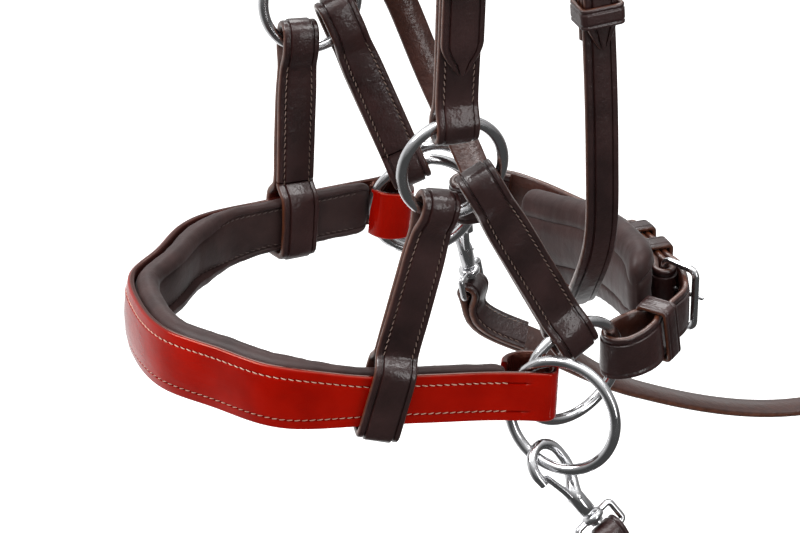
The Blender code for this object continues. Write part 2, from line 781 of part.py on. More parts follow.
def cheek_route(side, upper):
    """From the upper ring's top, up the cheek, to the buckle's bar."""
    foot = on_ring(upper, 90)[0]
    lean = math.radians(CHEEK_LEAN)
    up = Vector((side * math.sin(lean), 0, math.cos(lean)))
    out = Vector((side * math.cos(lean), 0, -math.sin(lean)))
    top = foot + up * CHEEK_LONG
    return Route([foot, foot.lerp(top, 0.5), top], [upper.normal, out, out])


def build_cheek(hand, upper, route):
    low = ring_eye(route, 0.0, -1, DOUBLED, upper, 90)
    high = bar_eye(route.length, 1, DOUBLED)
    cheek = doubled_strap("cheekpiece_" + hand, route, low, high[::-1], STRAP_WIDTH)
    tongue_slot(cheek, "cheek_slot_" + hand, route, route.length, 1)
    names = ("cheek_buckle_frame_" + hand, "cheek_buckle_tongue_" + hand)
    make_buckle(names, route, route.length, 1, STRAP_WIDTH, BILLET_THICK)
    rest = FACE + GAP + BILLET_THICK
    make_keeper("cheek_keeper_" + hand, route, CHEEK_KEEPER, -FACE, rest, STRAP_WIDTH)
    make_keeper("cheek_runner_" + hand, route, CHEEK_RUNNER, -FACE, rest, STRAP_WIDTH, moving=True)


def throat_route():
    """From the near buckle's bar down, round behind the jaw, and up to the far one."""
    side, back, drop = THROAT_SIDE, THROAT_BACK, THROAT_DROP
    top, near, far = THROAT_BUCKLE_DROP, THROAT_NEAR_BACK, THROAT_FAR_BACK
    down = drop - top
    line_shares = ((1.0, 0.0, 0.0), (1.005, 0.19, 0.19), (0.995, 0.38, 0.51), (0.94, 0.49, 0.70),
                   (0.745, 0.58, 0.85), (0.51, 0.82, 0.94), (0.0, 1.0, 1.0))
    points = [(side * x, near + (back - near) * y, -top - down * z) for x, y, z in line_shares]
    far_shares = ((0.51, 0.93, 0.94), (0.72, 0.84, 0.85), (0.90, 0.66, 0.72), (0.975, 0.43, 0.56),
                  (0.995, 0.15, 0.40), (1.005, 0.03, 0.19), (1.015, 0.0, 0.0))
    points += [(-side * x, far + (back - far) * y, -top - down * z) for x, y, z in far_shares]
    outs = []
    for x, y, z in points:
        under = step_between(-z, top + down * 0.72, drop)
        outs.append(Vector((x / side, 0, 0)) * (1 - under) + Vector((x / side, 0, -1)) * under)
    return Route(points, outs)


def build_throatlash(route):
    length = route.length
    near = [(THROAT_TURN, -LAYER)] + run(THROAT_TURN, NECK, -LAYER, 2) + bar_eye(0.0, -1, DOUBLED)
    far = [(length - along, out) for along, out in reversed(near)]
    line = near + run(near[-1][0], far[0][0], LAYER, 30) + far
    lash = strap("throatlash", route, line, THROAT_WIDTH, STRAP_THICK, "leather")
    rest = FACE + GAP + BILLET_THICK
    for hand, bar, way in (("near", 0.0, -1), ("far", length, 1)):
        tongue_slot(lash, "throat_slot_" + hand, route, bar, way)
        names = ("throat_buckle_frame_" + hand, "throat_buckle_tongue_" + hand)
        make_buckle(names, route, bar, way, THROAT_WIDTH, BILLET_THICK)
        keeper, runner = bar - way * THROAT_KEEPER, bar - way * THROAT_RUNNER
        make_keeper("throat_keeper_" + hand, route, keeper, -FACE, rest, THROAT_WIDTH)
        make_keeper("throat_runner_" + hand, route, runner, -FACE, rest, THROAT_WIDTH, moving=True)


def crown_arc(angle, radius):
    """A point over the bracket, and the direction out of it."""
    turn = math.radians(angle)
    out = Vector((math.sin(turn), 0, math.cos(turn)))
    return Vector((0, 0, -ARC_DROP)) + out * radius, out


def build_crown(cheek_routes, throat):
    """One strap over the poll that parts into a cheek billet and a throat billet on each side."""
    half, part = CROWN_WIDTH / 2, TAIL_PART / 2
    radius = BRACKET_RADIUS + POLL_PAD_THICK + GAP * 2 + CROWN_THICK / 2
    spots = [crown_arc(CROWN_ARC * (1 - k / 7), radius) for k in range(15)]
    for side in (1, -1):
        low = Vector((side * CROWN_SIDE, 0, -CROWN_SPLIT_DROP))
        out = Vector((side, 0, 0))
        point, lean = spots[0] if side > 0 else spots[-1]
        between = [(point.lerp(low, 0.5) + out * GAP, lean.lerp(out, 0.6).normalized()), (low, out)]
        spots = between[::-1] + spots if side > 0 else spots + between
    bm = bmesh.new()
    rows = []
    for point, out in spots:
        face = out * (CROWN_THICK / 2)
        top = [bm.verts.new(point + Vector((0, y, 0)) + face) for y in (-half, -part, part, half)]
        bottom = [bm.verts.new(point + Vector((0, y, 0)) - face) for y in (half, part, -part, -half)]
        rows.append(top + bottom)
    bridge(bm, rows)
    for row, side in ((rows[0], 1), (rows[-1], -1)):
        bm.faces.new((row[1], row[2], row[5], row[6]))
        bar, way = (0.0, -1) if side > 0 else (throat.length, 1)
        tip = bar - way * THROAT_TIP
        cheek = quads(cheek_routes[side], billet_line(CHEEK_LONG, 1, CHEEK_TIP, BILLET_THICK),
                      pointed(STRAP_WIDTH, CHEEK_TIP, -1), BILLET_THICK, hands=(side, -1))
        lash = quads(throat, billet_line(bar, way, tip, BILLET_THICK), pointed(THROAT_WIDTH, tip, -way),
                     BILLET_THICK, hands=(-1, -way))
        cheek_root = [row[k] for k in (1, 0, 7, 6)]
        lash_root = [row[k] for k in (3, 2, 5, 4)]
        for first, lower in ((cheek_root, cheek), (lash_root, lash)):
            tail = [first]
            for k in range(1, 8):
                share = k / 8
                share = share * 0.6 + step_between(share, 0.0, 1.0) * 0.4
                tail.append([bm.verts.new(one.co.lerp(two, share)) for one, two in zip(first, lower[0])])
            tail += [[bm.verts.new(point) for point in section] for section in lower]
            bridge(bm, tail)
            bm.faces.new(tail[-1])
    crown = place("crown", finished(bm, "crown"), "leather")
    for hand, side in (("near", 1), ("far", -1)):
        tongue_hole(crown, "cheek_hole_" + hand, cheek_routes[side], CHEEK_LONG, 1, BILLET_THICK)
        bar, way = (0.0, -1) if side > 0 else (throat.length, 1)
        tongue_hole(crown, "throat_hole_" + hand, throat, bar, way, BILLET_THICK)


def bridge(bm, rows):
    """Faces between rows of corners."""
    for one, two in zip(rows, rows[1:]):
        for k, corner in enumerate(one):
            after = (k + 1) % len(one)
            bm.faces.new((corner, one[after], two[after], two[k]))


def build_poll_pad():
    """A soft pad under the crown, flat underneath where the bracket carries it."""
    outer = BRACKET_RADIUS + POLL_PAD_THICK
    half = POLL_PAD_WIDTH / 2
    inset = POLL_PAD_THICK / 4
    flat = math.degrees(math.asin(POLL_FLAT / 2 / BRACKET_RADIUS))
    angles = [-POLL_PAD_ARC + (POLL_PAD_ARC - flat) * k / 7 for k in range(8)]
    angles += [-angle for angle in reversed(angles)]
    sections = []
    for k, angle in enumerate(angles):
        thin = POLL_PAD_THICK / 3 if k in (0, len(angles) - 1) else 0.0
        low = crown_arc(angle, BRACKET_RADIUS)[0]
        high = crown_arc(angle, outer - thin)[0]
        middle = low.lerp(high, 0.5)
        corners = ((low, inset - half), (middle, -half), (high, inset - half),
                   (high, half - inset), (middle, half), (low, half - inset))
        sections.append([spot + Vector((0, aside, 0)) for spot, aside in corners])
    skin("poll_pad", sections, "soft")


def build_browband():
    """A patent band round the forehead with a loop at each end for both billets."""
    straight = BROW_LOOP_LONG / (BROW_REACH + BROW_BACK)
    plan_shares = ((1.0, 0.0), (1.0, straight), (0.985, straight + 0.10), (0.90, 0.62), (0.70, 0.80),
                   (0.38, 0.95), (0.0, 1.0))
    near = []
    for across_share, deep_share in plan_shares:
        near.append(Vector((BROW_SIDE * across_share, BROW_BACK - (BROW_REACH + BROW_BACK) * deep_share, 0)))
    route = mirrored_route(near, Matrix.Translation(Vector((0, 0, -BROW_DROP))))
    length = route.length
    closed = PATENT_THICK + GAP
    round_end = BROW_LOOP_WIDE / 2
    opened = BROW_LOOP_LONG - NECK * 1.5
    loop = [(BROW_LOOP_LONG, -closed), (BROW_LOOP_LONG - NECK / 2, -closed),
            (BROW_LOOP_LONG - NECK, -(closed + BROW_LOOP_WIDE) / 2), (opened, -BROW_LOOP_WIDE)]
    loop += run(opened, round_end, -BROW_LOOP_WIDE, 2)
    loop += turned(round_end, -BROW_LOOP_WIDE / 2, round_end, round_end, 270, 90, 6)
    far = [(length - along, out) for along, out in reversed(loop)]
    line = loop + run(loop[-1][0], far[0][0], 0.0, 34) + far
    strap("browband_patent_strap", route, line, BROW_HEIGHT, PATENT_THICK, "patent")
    start = BROW_LOOP_LONG + GAP
    out = -(PATENT_THICK / 2 + GAP + BROW_LINING_THICK / 2)
    pad("browband_lining", route, start, length - start, out, BROW_HEIGHT + LINING_PROUD, BROW_LINING_THICK,
        "soft", 24, ends=0.8, end_run=LINING_END_RUN)


def chin_route(near_ring, far_ring):
    """The chin strap's line from the near junction ring round to the far one."""
    first = on_ring(near_ring, NEAR_CHIN_ANGLE)[0]
    last = on_ring(far_ring, FAR_CHIN_ANGLE)[0]
    bar = CHIN_BAR_SIDE
    back_shares = ((1.80, 0.770, 0.0107), (1.61, 0.887, 0.0060), (1.33, 0.967, 0.0025), (1.0, 0.995, 0.0005),
                   (0.42, 1.0, -0.0005), (-0.28, 0.985, 0.002), (-0.97, 0.92, 0.007), (-1.70, 0.82, 0.010),
                   (-1.98, 0.71, 0.008))
    points = [first]
    for across_share, back_share, drop_share in back_shares:
        points.append((bar * across_share, CHIN_BACK * back_share, -CHIN_DROP * (1 + drop_share)))
    points.append(last)
    outs = [near_ring.normal, (0.96, 0.3, 0), (0.8, 0.7, 0), (0.5, 0.9, 0), (0.2, 1, 0), (0, 1, 0),
            (-0.15, 1, 0), (-0.45, 0.9, 0), (-0.75, 0.7, 0), (-0.96, 0.3, 0), far_ring.normal]
    return Route(points, outs)


def build_chin(near_ring, far_ring):
    """A billet from the near ring, a strap with the buckle from the far ring, and the pad."""
    route = chin_route(near_ring, far_ring)
    length = route.length
    bar = nearest_along(route, CHIN_BAR_SIDE, 0, 0.0, length / 2)
    far = ring_eye(route, length, 1, DOUBLED, far_ring, FAR_CHIN_ANGLE, CHIN_WIDTH)
    near = bar_eye(bar, -1, DOUBLED)
    seam = far[0][0] - NECK
    line = [(bar + CHIN_TURN, -LAYER)] + run(bar + CHIN_TURN, near[0][0], -LAYER, 3) + near
    line += run(near[-1][0], far[-1][0], LAYER, 14) + far[::-1] + [(seam, -LAYER)]
    chin = strap("chin_strap", route, line, CHIN_WIDTH, STRAP_THICK, "leather")
    tongue_slot(chin, "chin_slot", route, bar, -1)
    make_buckle(("chin_buckle_frame", "chin_buckle_tongue"), route, bar, -1, CHIN_WIDTH, BILLET_THICK)
    rest = FACE + GAP + BILLET_THICK
    make_keeper("chin_keeper", route, bar + CHIN_KEEPER, -FACE, rest, CHIN_WIDTH)
    make_keeper("chin_runner", route, bar + CHIN_RUNNER, -FACE, rest, CHIN_WIDTH, moving=True)
    fold = ring_eye(route, 0.0, -1, DOUBLED, near_ring, NEAR_CHIN_ANGLE, CHIN_WIDTH, CHIN_LOOP_LONG)
    line = [(CHIN_BILLET_TURN, -LAYER)] + fold
    tip = bar + CHIN_TIP
    ahead = billet_line(bar, -1, tip, BILLET_THICK)[1:]
    line += run(fold[-1][0], ahead[0][0], (LAYER + ahead[0][1]) / 2, 1) + ahead
    billet = strap("chin_billet", route, line, pointed(CHIN_WIDTH, tip, 1), BILLET_THICK, "leather")
    tongue_hole(billet, "chin_hole", route, bar, -1, BILLET_THICK)
    make_keeper("chin_fold_keeper", route, CHIN_FOLD_KEEPER, -FACE, FACE + CHIN_FOLD_KEEPER_STAND, CHIN_WIDTH)
    top = -FACE - GAP - KEEPER_THICK - GAP
    pad("chin_pad", route, CHIN_PAD_START, length - CHIN_PAD_END, top - CHIN_PAD_THICK / 2, CHIN_PAD_HEIGHT,
        CHIN_PAD_THICK, "soft", 16, rise=lambda along: CHIN_TILT * (2 * along / length - 1), ends=0.5)


Snap = namedtuple("Snap", "origin axis aside normal")


def snap_at(origin, axis, facing):
    """A snap hook's directions: its origin is the bow's centre, its axis runs from bow to eye."""
    axis = Vector(axis).normalized()
    facing = Vector(facing)
    normal = (facing - axis * facing.dot(axis)).normalized()
    return Snap(origin, axis, normal.cross(axis), normal)


def build_snap(hand, snap, eye_snap):
    """The hook with its shank and neck, the sprung gate on its pin, and the swivelling eye."""
    def spot(along, aside, depth=0.0):
        return snap.origin + snap.axis * along + snap.aside * aside + snap.normal * depth

    bow = SNAP_BOW + SNAP_BOW_WIRE / 2
    wire, shank, neck = SNAP_BOW_WIRE / 2, SNAP_SHANK_WIRE / 2, SNAP_NECK_WIRE / 2
    top_bar = SNAP_SHANK_END + GAP + SNAP_COLLAR_LONG / 2
    head = top_bar + SNAP_COLLAR_LONG / 2 + GAP
    line = [(SNAP_NOSE, -bow, wire * 0.85)]
    line += [(along, aside, wire) for along, aside in turned(0.0, 0.0, bow, bow, 270, 90, 10)]
    leg_shares = ((0.38, 0.93, 1.0), (0.72, 0.58, 1.15), (0.95, 0.20, 1.4), (1.1, 0.0, 1.55))
    line += [(SNAP_SHANK_START * a, bow * b, wire * c) for a, b, c in leg_shares]
    line += [(SNAP_SHANK_END - GAP, 0.0, shank), (SNAP_SHANK_END, 0.0, neck), (head, 0.0, neck)]
    line += [(head + GAP, 0.0, SNAP_HEAD / 2), (head + SNAP_HEAD_LONG, 0.0, SNAP_HEAD / 2)]
    points = [spot(along, aside) for along, aside, radius in line]
    sections = wire_sections(points, [radius for _, _, radius in line], RING_SIDES, snap.normal)
    hook = skin("snap_hook_" + hand, sections, "steel")
    pin = spot(GATE_PIN_ALONG, -GATE_PIN_ASIDE)
    wide = GATE_WIDTH + GAP * 2
    reach = GATE_KNUCKLE / 2 + GAP
    run_long = GATE_SLOT_RUN + reach
    centre = spot(GATE_PIN_ALONG + reach - run_long / 2, -GATE_PIN_ASIDE + reach - SNAP_SHANK_WIRE)
    cut_box(hook, "snap_slot_" + hand, centre, (snap.axis, snap.aside, snap.normal),
            (run_long, SNAP_SHANK_WIRE * 2, wide))
    arm = snap.normal * (wide / 2 + GAP * 2)
    rod = rod_mesh("snap_pin_" + hand, pin - arm, pin + arm, GATE_PIN / 2, 8)
    join_shape(hook, "snap_pin_" + hand, rod, "UNION")
    build_gate(hand, snap, spot, pin)
    build_snap_eye(hand, eye_snap, top_bar)
    return spot(top_bar + SNAP_EYE_DEEP, 0.0)


def build_gate(hand, snap, spot, pin):
    """A flat lever that closes on the inside of the bow's nose and turns on the shank's pin."""
    end = spot(GATE_END_ALONG, -GATE_END_ASIDE)
    way = (end - pin).normalized()
    side = snap.normal.cross(way)
    round_end = []
    for k in range(9):
        turn = math.radians(60 + 240 * k / 8)
        round_end.append(pin + (way * math.cos(turn) + side * math.sin(turn)) * (GATE_KNUCKLE / 2))
    outline = [end + side * (GATE_THICK / 2)] + round_end + [end - side * (GATE_THICK / 2)]
    depth = snap.normal * (GATE_WIDTH / 2)
    mesh = skin_mesh("snap_gate_" + hand, [[p - depth for p in outline], [p + depth for p in outline]])
    gate = place("snap_gate_" + hand, mesh, "steel", pin)
    bore = GATE_PIN / 2 + GAP
    rod = rod_mesh("gate_bore_" + hand, pin - depth * 2, pin + depth * 2, bore, 8)
    join_shape(gate, "gate_bore_" + hand, rod, "DIFFERENCE")


def build_snap_eye(hand, snap, top_bar):
    """A wire frame for the rein with a collar that turns on the hook's neck."""
    def spot(along, aside):
        return snap.origin + snap.axis * along + snap.aside * aside

    half = REIN_WIDTH / 2 + SNAP_EYE_EASE + SNAP_EYE_WIRE / 2
    corner = SNAP_EYE_CORNER
    points = []
    for deep, hand_sign, start in ((corner, -1, 180), (SNAP_EYE_DEEP - corner, -1, 270),
                                   (SNAP_EYE_DEEP - corner, 1, 0), (corner, 1, 90)):
        for a, b in turned(deep, hand_sign * (half - corner), corner, corner, start, start + 90, 3):
            points.append(spot(top_bar + a, b))
    radii = [SNAP_EYE_WIRE / 2] * len(points)
    origin = spot(top_bar, 0.0)
    sections = wire_sections(points, radii, WIRE_SIDES, snap.normal, closed=True)
    loop = skin("snap_eye_" + hand, sections, "steel", closed=True, origin=origin)
    reach = snap.axis * (SNAP_COLLAR_LONG / 2)
    collar = rod_mesh("snap_collar_" + hand, origin - reach, origin + reach, SNAP_COLLAR / 2, 12)
    join_shape(loop, "snap_collar_" + hand, collar, "UNION")
    hole = SNAP_NECK_WIRE / 2 + GAP
    bore = rod_mesh("snap_bore_" + hand, origin - reach * 2, origin + reach * 2, hole, 12)
    join_shape(loop, "snap_bore_" + hand, bore, "DIFFERENCE")


def rein_points(side, snap, bar):
    """A rein's line from the snap's eye, down, back, up and forward to the bracket's side."""
    reach, low, across = REIN_REACH, REIN_LOW, REIN_SIDE
    line_shares = ((1.02, 0.183, 0.925, 0.5), (1.06, 0.265, 0.967, 0.1), (1.08, 0.40, 1.0, 0.0),
                   (1.08, 0.56, 0.985, 0.0), (1.08, 0.74, 0.93, 0.0), (1.06, 0.90, 0.82, 0.0),
                   (1.03, 0.99, 0.66, 0.0), (1.0, 0.98, 0.50, 0.0), (0.99, 0.86, 0.385, 0.0),
                   (0.98, 0.64, 0.355, 0.0), (0.965, 0.42, 0.372, 0.1), (0.95, 0.27, 0.392, 0.6),
                   (0.943, 0.175, 0.380, 1.0))
    points = [bar, bar + snap.axis * REIN_WIDTH]
    outs = [snap.normal, snap.normal]
    centre = Vector((0, reach * 0.45, -low * 0.55))
    for across_share, reach_share, low_share, keep in line_shares:
        point = Vector((side * across * across_share, reach * reach_share, -low * low_share))
        radial = point - centre
        radial.x = 0
        points.append(point)
        outs.append(radial.normalized() * (1 - keep) + Vector((side, 0, 0)) * keep)
    back, drop = REIN_TOP_BACK, REIN_BUCKLE_DROP
    for back_share, drop_share in ((1.18, 1.66), (1.12, 1.44), (1.06, 1.22), (1.0, 1.0)):
        points.append(Vector((side * REIN_BUCKLE_SIDE, back * back_share, -drop * drop_share)))
        outs.append(Vector((side, 0, 0)))
    return points, outs


def build_reins(bars, eyes):
    """Two flat reins, buckled to each other where they lie over the bracket."""
    near = Route(*rein_points(1, eyes[1], bars[1]))
    snap_fold = bar_eye(0.0, -1, DOUBLED, SNAP_EYE_WIRE)
    start = [(SNAP_TURN, -LAYER)] + run(SNAP_TURN, snap_fold[0][0], -LAYER, 1) + snap_fold
    buckle_fold = bar_eye(near.length, 1, DOUBLED)[::-1]
    turn = near.length - REIN_TURN
    end = buckle_fold + run(buckle_fold[-1][0], turn, -LAYER, 2) + [(turn, -LAYER)]
    line = start + run(start[-1][0], end[0][0], LAYER, 56) + end
    rein = strap("rein_near", near, line, REIN_WIDTH, STRAP_THICK, "leather")
    tongue_slot(rein, "rein_slot", near, near.length, 1)
    make_buckle(("rein_buckle_frame", "rein_buckle_tongue"), near, near.length, 1, REIN_WIDTH, STRAP_THICK)
    rest = FACE + GAP + STRAP_THICK
    make_keeper("rein_keeper", near, near.length - REIN_KEEPER, -FACE, rest, REIN_WIDTH)
    make_keeper("rein_runner", near, near.length - REIN_RUNNER, -FACE, rest, REIN_WIDTH, moving=True)

    points, outs = rein_points(-1, eyes[-1], bars[-1])
    radius = BRACKET_RADIUS + GAP + STRAP_THICK / 2 - LAYER
    for k in range(13):
        point, out = crown_arc(REIN_ARC * (k / 6 - 1), radius)
        points.append(point + Vector((0, REIN_TOP_BACK, 0)))
        outs.append(out)
    far = Route(points, outs)
    line = start + run(start[-1][0], far.length, LAYER, 74) + [(far.length, LAYER)]
    tip = near.length - REIN_TIP
    ahead = billet_line(near.length, 1, tip, STRAP_THICK)[1:]
    sections = quads(far, line, REIN_WIDTH, STRAP_THICK)
    sections += quads(near, ahead, pointed(REIN_WIDTH, tip, -1), STRAP_THICK, hands=(-1, -1))
    rein = skin("rein_far", sections, "leather")
    tongue_hole(rein, "rein_hole", near, near.length, 1, STRAP_THICK)


def main():
    clear_scene()
    nose = nose_route()
    build_noseband(nose)
    junction_places = {
        1: (NEAR_JUNCTION_SIDE, NEAR_JUNCTION_BACK, NEAR_JUNCTION_DROP, NEAR_JUNCTION_TURN,
            NEAR_JUNCTION_LEAN),
        -1: (FAR_JUNCTION_SIDE, FAR_JUNCTION_BACK, FAR_JUNCTION_DROP, FAR_JUNCTION_TURN,
             FAR_JUNCTION_LEAN),
    }
    rein_ring_places = {
        1: (NEAR_REIN_RING_SIDE, NEAR_REIN_RING_BACK, NEAR_REIN_RING_DROP, NEAR_REIN_RING_TURN,
            NEAR_REIN_RING_LEAN),
        -1: (FAR_REIN_RING_SIDE, FAR_REIN_RING_BACK, FAR_REIN_RING_DROP, FAR_REIN_RING_TURN,
             FAR_REIN_RING_LEAN),
    }
    feet = {1: (NEAR_HANGER_FOOT_BACK, NEAR_REAR_FOOT_ANGLE), -1: (FAR_HANGER_FOOT_BACK, FAR_REAR_FOOT_ANGLE)}
    hooks = {1: (NEAR_SNAP_ANGLE, NEAR_SNAP_AXIS, NEAR_EYE_FACING),
             -1: (FAR_SNAP_ANGLE, FAR_SNAP_AXIS, FAR_EYE_FACING)}
    junctions, cheeks, eyes, bars = {}, {}, {}, {}
    for side, hand in ((1, "near"), (-1, "far")):
        upper = ring_at(side, UPPER_RING_SIDE, -UPPER_RING_FORE, UPPER_RING_DROP, 0.0, UPPER_RING_LEAN,
                        UPPER_RING_OUTER)
        junction = ring_at(side, *junction_places[side], LOWER_RING_OUTER)
        rein_ring = ring_at(side, *rein_ring_places[side], LOWER_RING_OUTER)
        make_ring("upper_ring_" + hand, upper)
        make_ring("junction_ring_" + hand, junction)
        make_ring("rein_ring_" + hand, rein_ring)
        build_front_hanger("front_hanger_" + hand, side, upper, nose, feet[side][0])
        build_rear_hanger("rear_hanger_" + hand, upper, junction, feet[side][1])
        cheeks[side] = cheek_route(side, upper)
        build_cheek(hand, upper, cheeks[side])
        junctions[side] = junction
        angle, axis, eye_facing = hooks[side]
        hook_at, _, wire_way = on_ring(rein_ring, angle)
        eyes[side] = snap_at(hook_at, axis, eye_facing)
        bars[side] = build_snap(hand, snap_at(hook_at, axis, wire_way), eyes[side])
    throat = throat_route()
    build_throatlash(throat)
    build_poll_pad()
    build_crown(cheeks, throat)
    build_browband()
    build_chin(junctions[1], junctions[-1])
    build_reins(bars, eyes)


main()
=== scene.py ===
"""The looks of a sidepull bridle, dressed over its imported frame: red patent noseband and browband,
dark brown bridle leather, soft linings, waxed thread and chromium-plated steel fittings."""
import json
import math
from bisect import bisect_left

import bpy
from mathutils import Matrix, Vector, noise


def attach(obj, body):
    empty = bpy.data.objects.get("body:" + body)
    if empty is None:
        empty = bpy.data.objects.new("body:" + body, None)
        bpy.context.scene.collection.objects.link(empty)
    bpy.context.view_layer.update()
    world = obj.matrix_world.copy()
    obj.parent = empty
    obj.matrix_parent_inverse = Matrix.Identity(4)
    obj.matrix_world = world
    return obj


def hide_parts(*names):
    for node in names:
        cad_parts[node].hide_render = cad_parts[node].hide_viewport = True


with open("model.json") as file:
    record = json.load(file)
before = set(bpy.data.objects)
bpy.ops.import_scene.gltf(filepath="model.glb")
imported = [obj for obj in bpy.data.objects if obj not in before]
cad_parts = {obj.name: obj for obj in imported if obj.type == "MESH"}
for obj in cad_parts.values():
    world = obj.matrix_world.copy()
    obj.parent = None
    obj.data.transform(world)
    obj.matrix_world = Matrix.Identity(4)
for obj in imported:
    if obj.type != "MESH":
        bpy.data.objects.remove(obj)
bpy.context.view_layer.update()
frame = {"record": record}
body_of = {name: body for body, names in frame["record"]["behaviour"]["bodies"].items() for name in names}


# Noseband strap: one strip of split hide with a red lacquered patent face, folded back at both
# ends into a tunnel for the rings. Its soft edges are pared, and two rows of waxed thread hold
# the padded lining behind it.
GAP = 0.0003
NOSE_HALF = 0.0838
NOSE_DEPTH = 0.1047
NOSE_BACK = 0.0280
NOSE_FLARE = 0.0072
NOSE_LEVEL = 0.5230
NOSE_RISE = 2.5
NOSE_END_HEIGHT = 0.0198
NOSE_FRONT_HEIGHT = 0.0250
NOSE_FAR_LIFT = 0.0023
NOSE_SHOULDER = 0.062
NOSE_SHOULDER_RUN = 0.040
NOSE_DOME = 0.0013
PATENT_THICK = 0.0026
NEAR_TUNNEL_LONG = 0.0168
FAR_TUNNEL_LONG = 0.0150
TUNNEL_SKEW = 0.0045
TUNNEL_WIDE = 0.0175
TUNNEL_INSIDE = 0.0083
TUNNEL_ROUND = 0.0050
TUNNEL_END = -0.0010
THREAD_THICK = 0.00042
PATENT_PITCH = 0.0027
PATENT_STITCH_INSET = 0.0042
PATENT_CREASE = (PATENT_STITCH_INSET, 0.0005, 0.0002)
NEAR_STITCH_START = 0.0530
FAR_STITCH_START = 0.0515
NOSE_PLAIN_END = 0.0085
NOSE_PLAIN_RUN = 0.0030
NOSE_STUFF_START = 0.078
NOSE_STUFF_FULL = 0.104
FRAME_STEP = 0.0014
EDGE_ROUND_SHARE = 0.32
CREASE_FLOOR = 0.0002
CREASE_LIP = 0.0005
CREASE_SWELL = 0.0010


def colour(code):
    """An sRGB hex colour as linear light."""
    channels = [int(code[k:k + 2], 16) / 255 for k in (1, 3, 5)]
    return [c / 12.92 if c <= 0.04045 else ((c + 0.055) / 1.055) ** 2.4 for c in channels] + [1.0]


def add_node(tree, kind, inputs, **settings):
    """One node with its settings. An input is a plain value or another node's output."""
    made = tree.nodes.new("ShaderNode" + kind)
    for name, value in settings.items():
        setattr(made, name, value)
    for socket, value in inputs.items():
        if isinstance(value, bpy.types.NodeSocket):
            tree.links.new(value, made.inputs[socket])
        else:
            made.inputs[socket].default_value = value
    return made


def new_material(name, **sockets):
    """A Principled material with constant values on its own sockets."""
    made = bpy.data.materials.new(name)
    made.use_nodes = True
    tree = made.node_tree
    shader = tree.nodes["Principled BSDF"]
    for socket, value in sockets.items():
        shader.inputs[socket.replace("_", " ")].default_value = value
    place = add_node(tree, "TexCoord", {}).outputs["Object"]
    return made, tree, shader, place


def patent_leather():
    """Lacquered patent hide: a clear glassy coat over even red, drawn into faint waves along its
    length where it was stretched, with a dull brown back and pared edges."""
    made, tree, shader, place = new_material(
        "patent_leather_lacquered", Roughness=0.16, IOR=1.5, Specular_IOR_Level=0.45,
        Specular_Tint=colour("#ff8a5a"), Coat_Weight=0.35, Coat_Roughness=0.03, Coat_IOR=1.4)
    cloud = add_node(tree, "TexNoise", {"Vector": place, "Scale": 1 / 0.018, "Detail": 3.0}).outputs["Fac"]
    tone = add_node(tree, "MapRange", {"Value": cloud, "From Min": 0.35, "From Max": 0.65}).outputs[0]
    mixed = add_node(tree, "Mix", {0: tone, 6: colour("#880500"), 7: colour("#9a0a01")}, data_type="RGBA")
    body = mixed.outputs[2]
    edge = add_node(tree, "Attribute", {}, attribute_name="pared_edge").outputs["Fac"]
    worn = add_node(tree, "Mix", {0: edge, 6: body, 7: colour("#32130f")}, data_type="RGBA").outputs[2]
    tree.links.new(worn, shader.inputs["Base Color"])
    drawn = add_node(tree, "Mapping", {"Vector": place, "Scale": (1.0, 1.0, 3.0)}).outputs[0]
    wave = add_node(tree, "TexNoise", {"Vector": drawn, "Scale": 1 / 0.011, "Detail": 2.0}).outputs["Fac"]
    bump = add_node(tree, "Bump", {"Height": wave, "Strength": 0.30, "Distance": 0.0008}).outputs[0]
    tree.links.new(bump, shader.inputs["Normal"])
    tree.links.new(bump, shader.inputs["Coat Normal"])
    return made


def thread(name, light, dark):
    """Waxed linen thread, twisted: each stitch catches a short soft light. The twist is drawn
    coarser than a real one, so that it shows."""
    made, tree, shader, place = new_material(name, Roughness=0.5, IOR=1.5, Sheen_Weight=0.2)
    strands = add_node(tree, "TexNoise", {"Vector": place, "Scale": 1 / 0.0007, "Detail": 2.0}).outputs["Fac"]
    mix = add_node(tree, "Mix", {0: strands, 6: colour(light), 7: colour(dark)}, data_type="RGBA").outputs[2]
    tree.links.new(mix, shader.inputs["Base Color"])
    bump = add_node(tree, "Bump", {"Height": strands, "Strength": 0.4, "Distance": 0.0002}).outputs[0]
    tree.links.new(bump, shader.inputs["Normal"])
    return made


class Route:
    """A smooth line through points, with the direction that a strap's grain side looks in."""

    def __init__(self, points, outs, fine=12):
        points = [Vector(point) for point in points]
        outs = [Vector(out).normalized() for out in outs]
        self.points, self.outs = [], []
        last = len(points) - 1
        for k in range(last):
            before = points[k - 1] if k else points[0] * 2 - points[1]
            after = points[k + 2] if k + 2 <= last else points[last] * 2 - points[last - 1]
            for j in range(fine):
                share = j / fine
                self.points.append(between(before, points[k], points[k + 1], after, share))
                self.outs.append(outs[k].lerp(outs[k + 1], share))
        self.points.append(points[-1])
        self.outs.append(outs[-1])
        self.at = [0.0]
        for one, two in zip(self.points, self.points[1:]):
            self.at.append(self.at[-1] + (two - one).length)
        self.length = self.at[-1]

    def direction(self, k):
        """Which way the line runs between two of its points."""
        k = min(max(k, 0), len(self.points) - 2)
        return (self.points[k + 1] - self.points[k]).normalized()

    def frame(self, along):
        """The point, and the directions along, out of the face and across the strap."""
        k = min(max(bisect_left(self.at, along) - 1, 0), len(self.at) - 2)
        span = self.at[k + 1] - self.at[k]
        share = (along - self.at[k]) / span
        held = min(max(share, 0.0), 1.0)
        line = self.direction(k)
        beside = self.direction(k + 1) if held > 0.5 else self.direction(k - 1)
        way = line.lerp(beside, abs(held - 0.5)).normalized()
        point = self.points[k] + line * (span * share)
        out = self.outs[k].lerp(self.outs[k + 1], held)
        out = (out - way * out.dot(way)).normalized()
        return point, way, out, way.cross(out)


